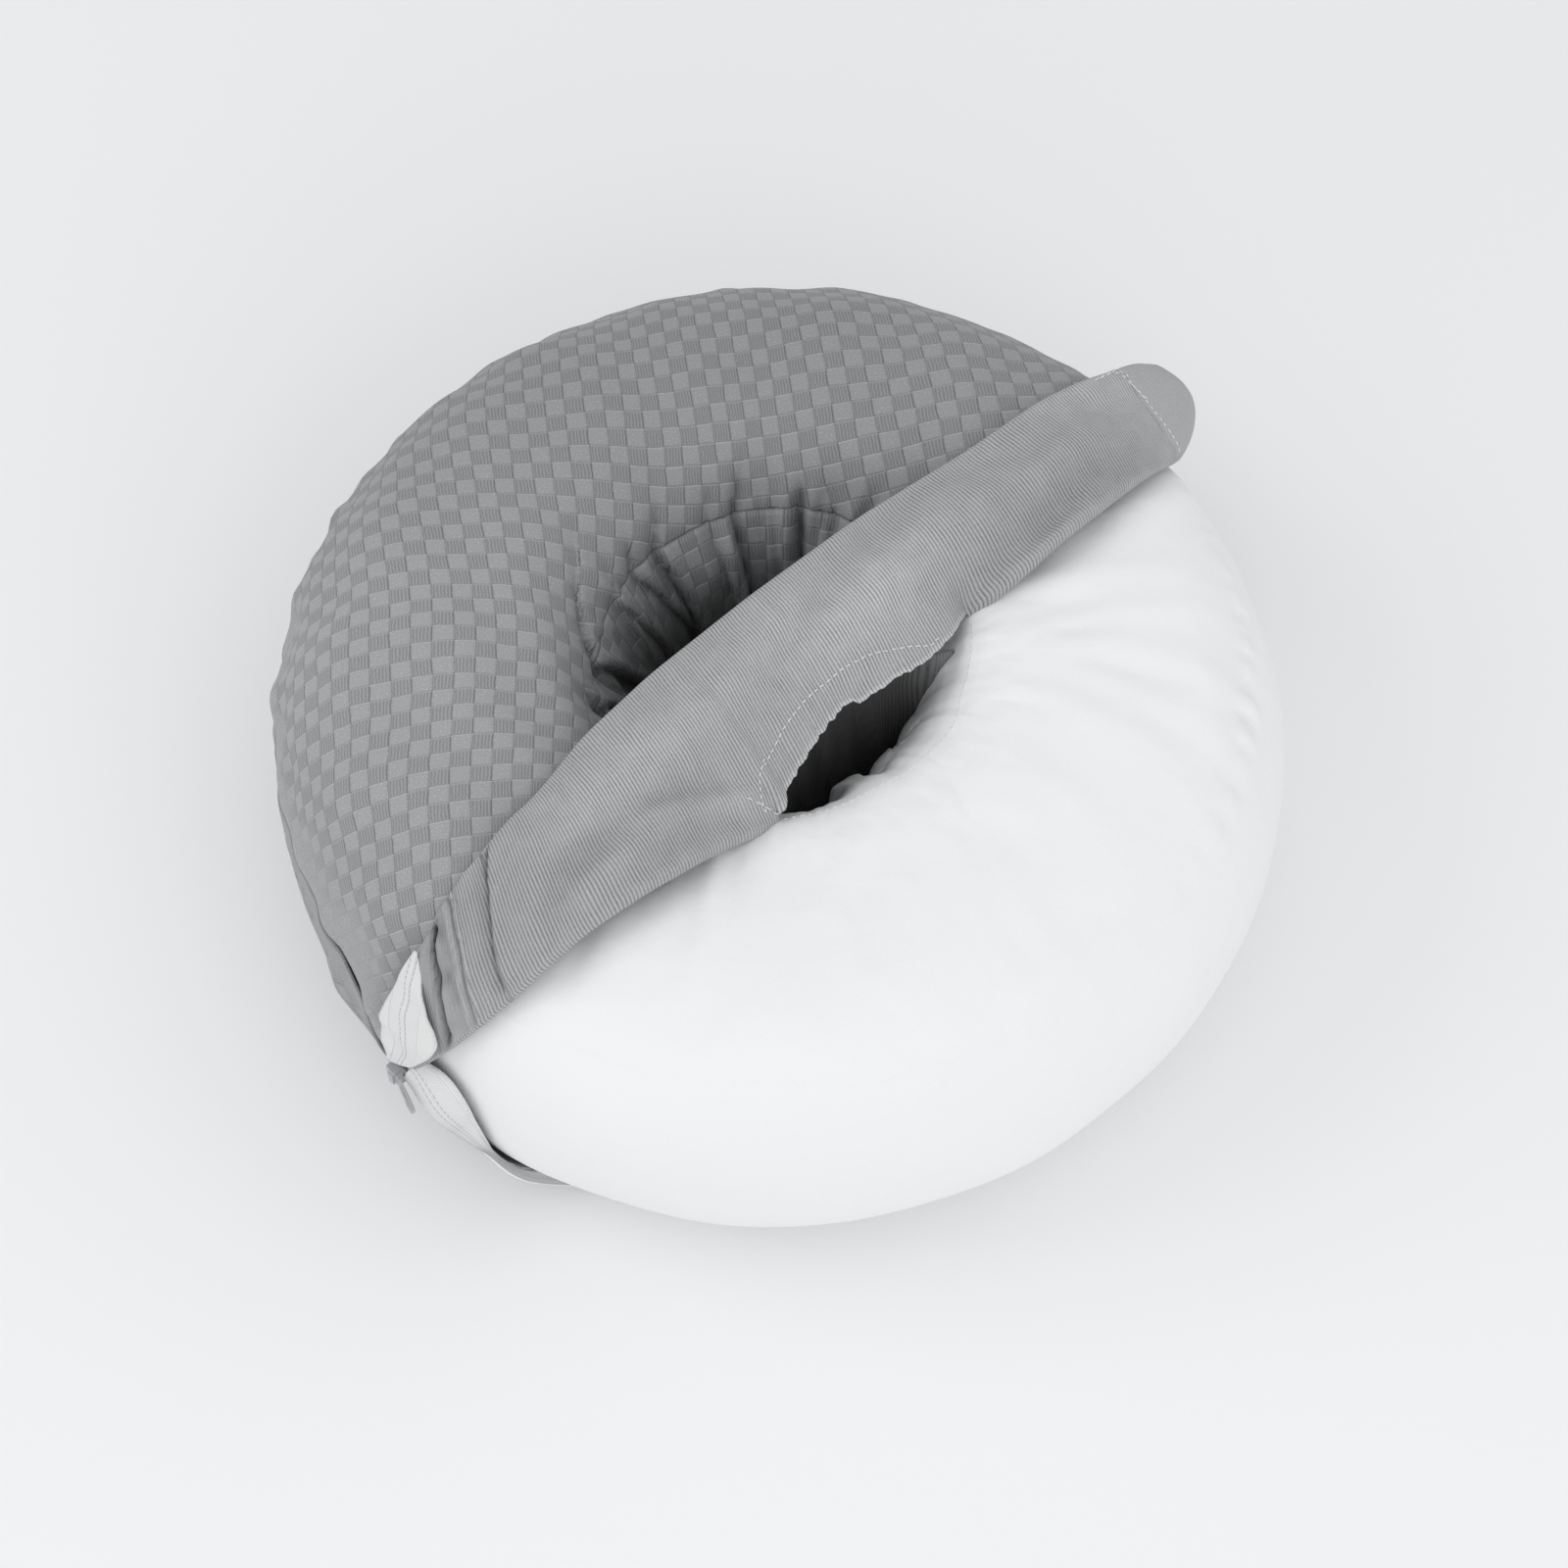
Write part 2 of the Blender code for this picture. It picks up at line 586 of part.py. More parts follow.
def add_bottom_panel(cloth):
    """The under panel: flat on what it rests on, and up the flank to the zip on the far half."""
    mesh = bmesh.new()
    turns = open_turns()
    closed = 2 * math.pi - turns[-1] + turns[0]
    steps = math.ceil(UNDER_TURNS * closed / (2 * math.pi))
    turns += [turns[-1] + closed * step / steps for step in range(1, steps)]
    grid = []
    for ring in range(UNDER_RINGS + 1):
        share = ring / UNDER_RINGS
        row = [mesh.verts.new(under_point(turn, share * under_edge_length(turn), CLOTH / 2)) for turn in turns]
        grid.append(row)
    build_faces(mesh, grid, closed=True)
    return sheet_object("cover_bottom_panel", mesh, CLOTH, cloth)


def lower_tape_row(turn):
    """The lower tape's points across it at a turn: turned down over the flank, or going on from the edge."""
    length = under_edge_length(turn)
    reach, lean = open_edge(turn)
    turned = ease(reach, 0.0, TWIST_REACH)
    clear = (CLOTH + TAPE) / 2 + TAPE_CLEARANCE
    points = []
    for share in (0.0, 0.5, 1.0):
        width = TAPE_WIDTH * share
        hanging = under_point(turn, length - width, CLOTH / 2)
        onward = under_point(turn, length + width + TAPE_FLAT_CLEARANCE, CLOTH / 2)
        off_skin = at(turn + math.pi / 2, 1.0, 0.0).cross(onward - hanging).normalized()
        hanging += off_skin * (clear + lean * width)
        twist = math.sin(math.pi * turned)
        point = mix(onward, hanging, turned) + off_skin * TWIST_BULGE * twist * share
        points.append(Vector((point.x, point.y, max(point.z, TAPE / 2 + TWIST_RISE * twist))))
    return points


def add_lower_tape(white):
    """The tape of the under panel's open edge, from the slider round the near half."""
    mesh = bmesh.new()
    start = SLIDER_TURN + TAPE_START
    turns = [start] + [turn for turn in open_turns() if turn > start + TAPE_LEAST_STEP]
    grid = [[mesh.verts.new(point) for point in lower_tape_row(turn)] for turn in turns]
    build_faces(mesh, grid, closed=False)
    return sheet_object("zip_tape_lower", mesh, TAPE, white, even=False)


def add_upper_tape(white):
    """The tape of the turned-back panel, from over the slider up under the fold."""
    mesh = bmesh.new()
    grid = []
    for row in UPPER_TAPE:
        turns = math.radians(row["left_turn"]), math.radians(row["right_turn"])
        angles = math.radians(row["left_angle"]), math.radians(row["right_angle"])
        shares = [step / TAPE_COLUMNS for step in range(TAPE_COLUMNS + 1)]
        points = [skin(mix(*turns, share), mix(*angles, share), UPPER_TAPE_LIFT) for share in shares]
        grid.append([mesh.verts.new(point) for point in points])
    build_faces(mesh, grid, closed=False)
    return sheet_object("zip_tape_upper", mesh, TAPE, white)


def facing_out(turn, centre, lean=0.0):
    """A placement with local X along the ring, local Y up and local Z outwards, leaned over in its own plane."""
    outward = at(turn, 1.0, 0.0)
    basis = Matrix((UP.cross(outward), UP, outward)).transposed()
    return Matrix.Translation(centre) @ basis.to_4x4() @ Matrix.Rotation(lean, 4, "Z")


def add_slider(metal):
    """The zip's slider: a rounded block."""
    radius = RING_RADIUS + TUBE_HALF_WIDTH + SLIDER_LIFT
    bpy.ops.mesh.primitive_cube_add(size=1.0)
    slider = bpy.context.object
    slider.name = "zip_slider"
    size = Matrix.Diagonal((SLIDER_WIDTH, SLIDER_LENGTH, SLIDER_DEPTH, 1.0))
    slider.data.transform(size)
    slider.matrix_world = facing_out(SLIDER_TURN, at(SLIDER_TURN, radius, SLIDER_LEVEL))
    rounding = slider.modifiers.new("rounding", "BEVEL")
    rounding.width = SLIDER_ROUNDING
    rounding.segments = 3
    slider.data.materials.append(metal)
    return slider


def add_pull(metal):
    """The zip's pull: a flat drop that hangs from the slider and leans along the ring."""
    top = at(PULL_TOP_TURN, PULL_RADIUS, PULL_TOP_LEVEL)
    end = at(PULL_END_TURN, PULL_RADIUS, PULL_END_LEVEL)
    length = (top - end).length
    curve = bpy.data.curves.new("zip_pull", "CURVE")
    curve.dimensions = "2D"
    curve.fill_mode = "BOTH"
    curve.extrude = PULL_THICKNESS / 2
    outline = curve.splines.new("BEZIER")
    outline.use_cyclic_u = True
    outline.resolution_u = 4
    neck, belly = -length * PULL_NECK_SHARE, -length * PULL_BELLY_SHARE
    corners = [(0.0, 0.0), (PULL_NECK / 2, neck), (PULL_WIDTH / 2, belly)]
    corners += [(0.0, -length), (-PULL_WIDTH / 2, belly), (-PULL_NECK / 2, neck)]
    outline.bezier_points.add(len(corners) - 1)
    for point, corner in zip(outline.bezier_points, corners):
        point.co = (*corner, 0.0)
        point.handle_left_type = point.handle_right_type = "AUTO"
    curve.materials.append(metal)
    pull = bpy.data.objects.new("zip_pull", curve)
    middle_turn = (PULL_TOP_TURN + PULL_END_TURN) / 2
    lean = math.atan2((end - top).dot(UP.cross(at(middle_turn, 1.0, 0.0))), top.z - end.z)
    pull.matrix_world = facing_out(middle_turn, top, lean)
    return pull


def clear_scene():
    """Removes whatever the scene holds."""
    for item in list(bpy.data.objects):
        bpy.data.objects.remove(item)


def main():
    """Builds every piece of the pillow."""
    clear_scene()
    grey = material("grey_check_cloth", (0.27, 0.28, 0.29), 0.80)
    white = material("white_tape", (0.82, 0.83, 0.84), 0.75)
    metal = material("grey_painted_metal", (0.33, 0.34, 0.35), 0.45, 0.6)
    pieces = [add_inner_pillow(), add_top_panel(grey), add_hole_wall(grey), add_bottom_panel(grey)]
    pieces += [add_upper_tape(white), add_lower_tape(white), add_slider(metal), add_pull(metal)]
    collection = bpy.data.collections.new("donut_ear_pillow")
    bpy.context.scene.collection.children.link(collection)
    for piece in pieces:
        for home in list(piece.users_collection):
            home.objects.unlink(piece)
        collection.objects.link(piece)


main()
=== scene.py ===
"""Donut ear pillow, dressed: a filled white ring in a zip-off check cover that is folded half back.

Sizes are metres in the part's own frame: +Z up, the ear hole's axis on Z, and the bare half of the ring
towards -Y. The fold has its own directions: along the band of turned-back cloth, and across it, towards
the bare half.
"""

import json
import logging
import math
from collections.abc import Callable
from dataclasses import dataclass
from enum import Enum

import bmesh
import bpy
import numpy as np
from mathutils import Matrix, Vector
from mathutils.bvhtree import BVHTree

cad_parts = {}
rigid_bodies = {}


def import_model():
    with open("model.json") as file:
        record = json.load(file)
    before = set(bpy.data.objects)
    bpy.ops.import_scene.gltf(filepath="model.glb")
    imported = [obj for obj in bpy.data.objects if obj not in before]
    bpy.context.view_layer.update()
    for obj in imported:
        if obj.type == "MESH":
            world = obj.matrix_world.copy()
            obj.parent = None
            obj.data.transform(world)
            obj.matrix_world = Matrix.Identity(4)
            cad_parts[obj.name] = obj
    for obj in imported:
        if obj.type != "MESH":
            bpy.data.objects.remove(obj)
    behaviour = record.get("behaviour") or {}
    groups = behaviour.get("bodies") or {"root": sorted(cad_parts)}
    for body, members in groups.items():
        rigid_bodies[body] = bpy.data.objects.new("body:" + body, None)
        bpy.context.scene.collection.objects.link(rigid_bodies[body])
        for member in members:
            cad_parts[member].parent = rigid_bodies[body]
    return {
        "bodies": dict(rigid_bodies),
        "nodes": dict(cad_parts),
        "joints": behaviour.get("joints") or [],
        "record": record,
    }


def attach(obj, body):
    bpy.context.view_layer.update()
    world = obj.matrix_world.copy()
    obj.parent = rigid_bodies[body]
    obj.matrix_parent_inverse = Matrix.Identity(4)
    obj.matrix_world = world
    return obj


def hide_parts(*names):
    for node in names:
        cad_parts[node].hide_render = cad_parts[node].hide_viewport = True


Array = np.ndarray
Socket = bpy.types.NodeSocket
Table = tuple[tuple[float, ...], ...]
LOG = logging.getLogger("donut_ear_pillow")
UP = np.array((0.0, 0.0, 1.0))


class Slot(Enum):
    """The record's material slots."""

    COTTON = "white_cotton"
    CLOTH = "grey_check_cloth"
    TAPE = "white_tape"
    METAL = "grey_painted_metal"


def mix(first: Array, second: Array, share: Array) -> Array:
    """The value or point at a share of the way from the first to the second."""
    return first + (second - first) * share


def ease(value: Array, low: float, high: float) -> Array:
    """0 below low, 1 above high, and a smooth step between them."""
    share = np.clip((value - low) / (high - low), 0.0, 1.0)
    return share * share * (3 - 2 * share)


def bump(value: Array, middle: float, half_width: float) -> Array:
    """1 at the middle, falling smoothly to nothing."""
    return np.exp(-(((value - middle) / half_width) ** 2))


def wrapped(angle: Array) -> Array:
    """The angle between minus and plus half a turn."""
    return (angle + math.pi) % (2 * math.pi) - math.pi


def signed_power(value: Array, power: float) -> Array:
    """A power that keeps the value's sign."""
    return np.sign(value) * np.abs(value) ** power


def unit(vectors: Array) -> Array:
    """The vectors at length 1."""
    return vectors / np.maximum(np.linalg.norm(vectors, axis=-1, keepdims=True), 1e-12)


def at(turn: Array, radius: Array, level: Array) -> Array:
    """Points from their turn round Z, their radius and their level."""
    turn, radius, level = np.broadcast_arrays(turn, radius, level)
    return np.stack([radius * np.cos(turn), radius * np.sin(turn), level], axis=-1)


def ripples(points: Array, wavelength: float, seed: int, waves: int = 20) -> Array:
    """Soft unevenness of one scale, about 1 high, the same on every run.

    Args:
        points: Places to work it out at, with 2 or 3 coordinates each.
        wavelength: The distance from one ripple to the next.
        seed: Picks the pattern.
        waves: How many waves are added up.

    Returns:
        The height at each place.
    """
    random = np.random.default_rng(seed)
    ways = unit(random.normal(size=(waves, points.shape[-1])))
    ways *= 2 * math.pi / (wavelength * random.uniform(0.7, 1.5, size=(waves, 1)))
    phases = random.uniform(0, 2 * math.pi, size=waves)
    return np.cos(points @ ways.T + phases).sum(axis=-1) / math.sqrt(waves / 2)


def arc_lengths(points: Array, axis: int) -> Array:
    """Distances along a grid of points from its first place on an axis.

    Args:
        points: The grid.
        axis: The axis to run along.

    Returns:
        The distance at each place.
    """
    steps = np.linalg.norm(np.diff(points, axis=axis), axis=-1)
    start = np.zeros_like(np.take(steps, [0], axis=axis))
    return np.concatenate([start, np.cumsum(steps, axis=axis)], axis=axis)


@dataclass(frozen=True)
class Patch:
    """A grid of a sheet's points, with its pattern coordinates, its painted shade and how plain it is.

    Places that are NaN are left open. Shade and plain run from 0 to 1.
    """

    points: Array
    pattern: Array
    shade: Array | float = 0.0
    plain: Array | float = 0.0

    def tone(self) -> Array:
        """Painted shade and plain side by side for each point."""
        return np.stack(np.broadcast_arrays(self.shade, self.plain, self.pattern[..., 0])[:2], axis=-1)


def from_table(value: Array, table: Table, column: int = 1, spread: float = 0.0) -> Array:
    """A table's column at a value of its first column, rounded off at its rows over a spread.

    Args:
        value: Values of the first column.
        table: The rows, in the order of their first column.
        column: The column that is wanted.
        spread: Half the width that each row is rounded over.

    Returns:
        The column at each value.
    """
    rows = np.array(table)
    near = np.asarray(value, float)[..., None] + spread * np.linspace(-1, 1, 5)
    return np.interp(near, rows[:, 0], rows[:, column]).mean(axis=-1)


def crowded(plain: Array, density: Array, steps: int) -> Array:
    """Places over a range, cut into steps that are shorter where the density is high."""
    total = np.concatenate([[0], np.cumsum((density[1:] + density[:-1]) / 2)])
    return np.interp(np.linspace(0, total[-1], steps + 1), total, plain)


def line_distance(places: Array, line: Table) -> tuple[Array, Array]:
    """Signed distance from places in a plane to a line of several corners, and how far along it they are.

    Args:
        places: Places with 2 coordinates.
        line: The line's corners.

    Returns:
        The distance, above 0 on the line's right side, and the run along the line from 0 to 1.
    """
    best, side, run = np.full(places.shape[:-1], np.inf), np.zeros(places.shape[:-1]), np.zeros(places.shape[:-1])
    corners = np.array(line)
    lengths = np.linalg.norm(np.diff(corners, axis=0), axis=1)
    total, passed = lengths.sum(), 0.0
    for index, (start, end) in enumerate(zip(corners[:-1], corners[1:])):
        way = (end - start) / lengths[index]
        out = places - start
        free = out @ way
        low = -np.inf if index == 0 else 0.0
        high = np.inf if index == len(lengths) - 1 else lengths[index]
        reach = np.clip(free, low, high)
        gap = np.linalg.norm(out - reach[..., None] * way, axis=-1)
        near = gap < best
        turn_side = out[..., 0] * way[1] - out[..., 1] * way[0]
        best, side = np.where(near, gap, best), np.where(near, np.sign(turn_side), side)
        run = np.where(near, (passed + free) / total, run)
        passed += lengths[index]
    return best * side, run


def deselect_all() -> None:
    """Leaves nothing selected and no object active."""
    bpy.ops.object.select_all(action="DESELECT")
    bpy.context.view_layer.objects.active = None


def vertex_places(thing: bpy.types.Object) -> Array:
    """The places of an object's vertices."""
    return np.array([vertex.co for vertex in thing.data.vertices])


def make_active(thing: bpy.types.Object) -> None:
    """Selects one object alone.

    Args:
        thing: The object.
    """
    deselect_all()
    thing.select_set(True)
    bpy.context.view_layer.objects.active = thing


def apply_modifier(thing: bpy.types.Object, kind: str, **settings: object) -> None:
    """Adds a modifier, sets it up and applies it.

    Args:
        thing: The object that it changes.
        kind: Blender's name for the modifier.
        settings: Its settings by name.
    """
    modifier = thing.modifiers.new(kind.title(), kind)
    for name, value in settings.items():
        setattr(modifier, name, value)
    make_active(thing)
    bpy.ops.object.modifier_apply(modifier=modifier.name)


def object_from_patches(name: str, patches: list[Patch]) -> bpy.types.Object:
    """An open surface from patches that meet at their shared edges.

    Args:
        name: The object's name.
        patches: The grids. A face looks the way of its column step crossed with its row step.

    Returns:
        The new object, with its pattern coordinates and its tones, painted shade and how plain it is, in UV maps of
        those names.
    """
    points, faces, pattern, tone, start = [], [], [], [], 0
    for patch in patches:
        rows, columns = patch.points.shape[:2]
        index = start + np.arange(rows * columns).reshape(rows, columns)
        quads = np.stack([index[:-1, :-1], index[:-1, 1:], index[1:, 1:], index[1:, :-1]], axis=-1).reshape(-1, 4)
        flat = patch.points.reshape(-1, 3)
        there = ~np.isnan(flat[:, 0])
        faces.append(quads[there[quads - start].all(axis=1)])
        points.append(np.nan_to_num(flat))
        pattern.append(patch.pattern.reshape(-1, 2))
        tone.append(patch.tone().reshape(-1, 2))
        start += rows * columns
    corners, faces = np.concatenate(points), np.concatenate(faces)
    data = bpy.data.meshes.new(name)
    data.from_pydata(corners.tolist(), [], faces.tolist())
    for title, values in (("pattern", pattern), ("tone", tone)):
        layer = data.uv_layers.new(name=title)
        flat_values = np.nan_to_num(np.concatenate(values))[faces.ravel()]
        layer.data.foreach_set("uv", flat_values.astype(np.float32).ravel())
    mesh = bmesh.new()
    mesh.from_mesh(data)
    bmesh.ops.delete(mesh, geom=[vertex for vertex in mesh.verts if not vertex.link_faces], context="VERTS")
    bmesh.ops.remove_doubles(mesh, verts=mesh.verts, dist=2e-6)
    mesh.to_mesh(data)
    mesh.free()
    data.shade_smooth()
    thing = bpy.data.objects.new(name, data)
    bpy.context.scene.collection.objects.link(thing)
    return thing


def sheet_object(
    name: str, patches: list[Patch], thickness: float, face: "Finish", reverse: "Finish"
) -> bpy.types.Object:
    """A sheet of cloth with a finish on each side.

    Args:
        name: The object's name.
        patches: The middle surface of the cloth.
        thickness: The cloth's thickness.
        face: Finish of the side that the patches' faces look to.
        reverse: Finish of the other side.

    Returns:
        The thickened sheet.
    """
    thing = object_from_patches(name, patches)
    thing.data.materials.append(face.material())
    thing.data.materials.append(reverse.material())
    settings = dict(thickness=thickness, offset=0.0, use_even_offset=False)
    apply_modifier(thing, "SOLIDIFY", material_offset=1, material_offset_rim=1, **settings)
    return thing


def dress(thing: bpy.types.Object, slot: Slot, *nodes: str) -> bpy.types.Object:
    """Makes a piece ride with the part, and lets it stand for CAD nodes.

    Args:
        thing: The piece.
        slot: Its material slot. It is not used.
        nodes: The CAD nodes that it stands for.

    Returns:
        The piece.
    """
    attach(thing, "root")
    if nodes:
        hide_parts(*nodes)
    LOG.info("%s: %d faces", thing.name, len(thing.data.polygons))
    return thing


# ---------------------------------------------------------------- finishes


class NodeBench:
    """Adds and joins the nodes of one material."""

    def __init__(self, name: str) -> None:
        """Starts a material with a Principled shader.

        Args:
            name: The material's name.
        """
        self.material = bpy.data.materials.new(name)
        self.material.use_nodes = True
        self.tree = self.material.node_tree
        self.shader = self.tree.nodes["Principled BSDF"]

    def put(self, socket: Socket, value: object) -> None:
        """Joins a socket to another one, or sets its value.

        Args:
            socket: The input.
            value: The socket or the value for it.
        """
        if isinstance(value, bpy.types.NodeSocket):
            self.tree.links.new(value, socket)
        else:
            socket.default_value = value

    def math(self, operation: str, *values: object) -> Socket:
        """A maths node's result.

        Args:
            operation: Blender's name for the operation.
            values: Numbers or sockets.

        Returns:
            The socket of the result.
        """
        node = self.tree.nodes.new("ShaderNodeMath")
        node.operation = operation
        for socket, value in zip(node.inputs, values):
            self.put(socket, value)
        return node.outputs[0]

    def times(self, first: object, second: object) -> Socket:
        """The product of two values."""
        return self.math("MULTIPLY", first, second)

    def plus(self, first: object, second: object) -> Socket:
        """The sum of two values."""
        return self.math("ADD", first, second)

    def minus(self, first: object, second: object) -> Socket:
        """The first value less the second."""
        return self.math("SUBTRACT", first, second)

    def pattern(self, title: str = "pattern") -> tuple[Socket, Socket]:
        """The two pattern coordinates, in metres, or the two tones: painted shade and how plain the cloth is.

        Args:
            title: The UV map that holds them.

        Returns:
            The two coordinates.
        """
        source = self.tree.nodes.new("ShaderNodeUVMap")
        source.uv_map = title
        split = self.tree.nodes.new("ShaderNodeSeparateXYZ")
        self.put(split.inputs[0], source.outputs[0])
        return split.outputs[0], split.outputs[1]

    def place(self, x: object, y: object, z: object = 0.0) -> Socket:
        """A vector from three values.

        Args:
            x: The first value.
            y: The second one.
            z: The third one.

        Returns:
            The vector.
        """
        node = self.tree.nodes.new("ShaderNodeCombineXYZ")
        for socket, value in zip(node.inputs, (x, y, z)):
            self.put(socket, value)
        return node.outputs[0]

    def object_place(self) -> Socket:
        """The place on the object, in metres."""
        return self.tree.nodes.new("ShaderNodeTexCoord").outputs["Object"]

    def noise(self, place: Socket, scale: float, detail: float = 2.0, roughness: float = 0.5) -> Socket:
        """Noise about 0.5.

        Args:
            place: Where it is read.
            scale: Waves for each metre.
            detail: How many finer layers it has.
            roughness: How strong the finer layers are.

        Returns:
            The noise, from 0 to 1.
        """
        node = self.tree.nodes.new("ShaderNodeTexNoise")
        self.put(node.inputs["Vector"], place)
        node.inputs["Scale"].default_value = scale
        node.inputs["Detail"].default_value = detail
        node.inputs["Roughness"].default_value = roughness
        return node.outputs["Fac"]

    def step(self, value: Socket, low: float, high: float) -> Socket:
        """A smooth step from 0 at low to 1 at high. Low may be the larger.

        Args:
            value: What is stepped.
            low: Where the result is 0.
            high: Where the result is 1.

        Returns:
            The step.
        """
        node = self.tree.nodes.new("ShaderNodeMapRange")
        node.interpolation_type = "SMOOTHSTEP"
        for name, number in (("From Min", low), ("From Max", high)):
            node.inputs[name].default_value = number
        self.put(node.inputs["Value"], value)
        return node.outputs["Result"]

    def scaled(self, value: Socket, low: float, high: float) -> Socket:
        """Maps 0 to 1 onto low to high."""
        return self.math("MULTIPLY_ADD", value, high - low, low)

    def wave(self, value: Socket, length: float) -> Socket:
        """A sine between 0 and 1 that repeats with the length."""
        sine = self.math("SINE", self.times(value, 2 * math.pi / length))
        return self.scaled(sine, 0.5, 1.0)

    def colour_mix(self, share: object, first: object, second: object) -> Socket:
        """A colour between two, by share.

        Args:
            share: 0 for the first colour and 1 for the second.
            first: A colour.
            second: Another colour.

        Returns:
            The mixed colour.
        """
        node = self.tree.nodes.new("ShaderNodeMix")
        node.data_type = "RGBA"
        self.put(node.inputs["Factor"], share)
        for socket, value in zip((node.inputs["A"], node.inputs["B"]), (first, second)):
            colours = [item for item in node.inputs if item.name == socket.name and item.type == "RGBA"]
            self.put(colours[0], value)
        return next(item for item in node.outputs if item.type == "RGBA")

    def shade(self, colour: object, brightness: Socket) -> Socket:
        """A colour made darker or lighter by a factor.

        Args:
            colour: The colour.
            brightness: The factor.

        Returns:
            The shaded colour.
        """
        node = self.tree.nodes.new("ShaderNodeVectorMath")
        node.operation = "SCALE"
        self.put(node.inputs[0], colour)
        self.put(node.inputs["Scale"], brightness)
        return node.outputs[0]

    def bumped(self, height: Socket, depth: float, under: Socket | None = None) -> Socket:
        """A normal from a height of 0 to 1 that stands for a depth in metres.

        Args:
            height: Height from 0 to 1.
            depth: What a height of 1 stands for.
            under: A normal that this one is laid over.

        Returns:
            The normal.
        """
        node = self.tree.nodes.new("ShaderNodeBump")
        node.inputs["Distance"].default_value = depth
        self.put(node.inputs["Height"], height)
        if under is not None:
            self.put(node.inputs["Normal"], under)
        return node.outputs[0]

    def finish(
        self, colour: object, roughness: float, normal: Socket | None = None, **settings: float
    ) -> bpy.types.Material:
        """Joins the shader up and returns the material.

        Args:
            colour: A colour or a socket.
            roughness: How dull it is.
            normal: The bumped normal.
            settings: Other shader values, with underscores for spaces.

        Returns:
            The finished material.
        """
        self.put(self.shader.inputs["Base Color"], colour)
        self.shader.inputs["Roughness"].default_value = roughness
        if normal is not None:
            self.put(self.shader.inputs["Normal"], normal)
        for name, value in settings.items():
            self.shader.inputs[name.replace("_", " ")].default_value = value
        return self.material


class Finish:
    """A finish that makes its material once."""

    name: str = ""

    def material(self) -> bpy.types.Material:
        """The material, made on its first use."""
        found = bpy.data.materials.get(self.name)
        return found or self.build(NodeBench(self.name))

    def build(self, bench: NodeBench) -> bpy.types.Material:
        """Makes the material on a bench."""
        raise NotImplementedError


def grey(value: float, warmth: float = 0.0) -> tuple[float, float, float, float]:
    """A grey of a linear value, a little warm, or cool where warmth is below 0."""
    return (value * (1 + warmth), value, value * (1 - warmth), 1.0)


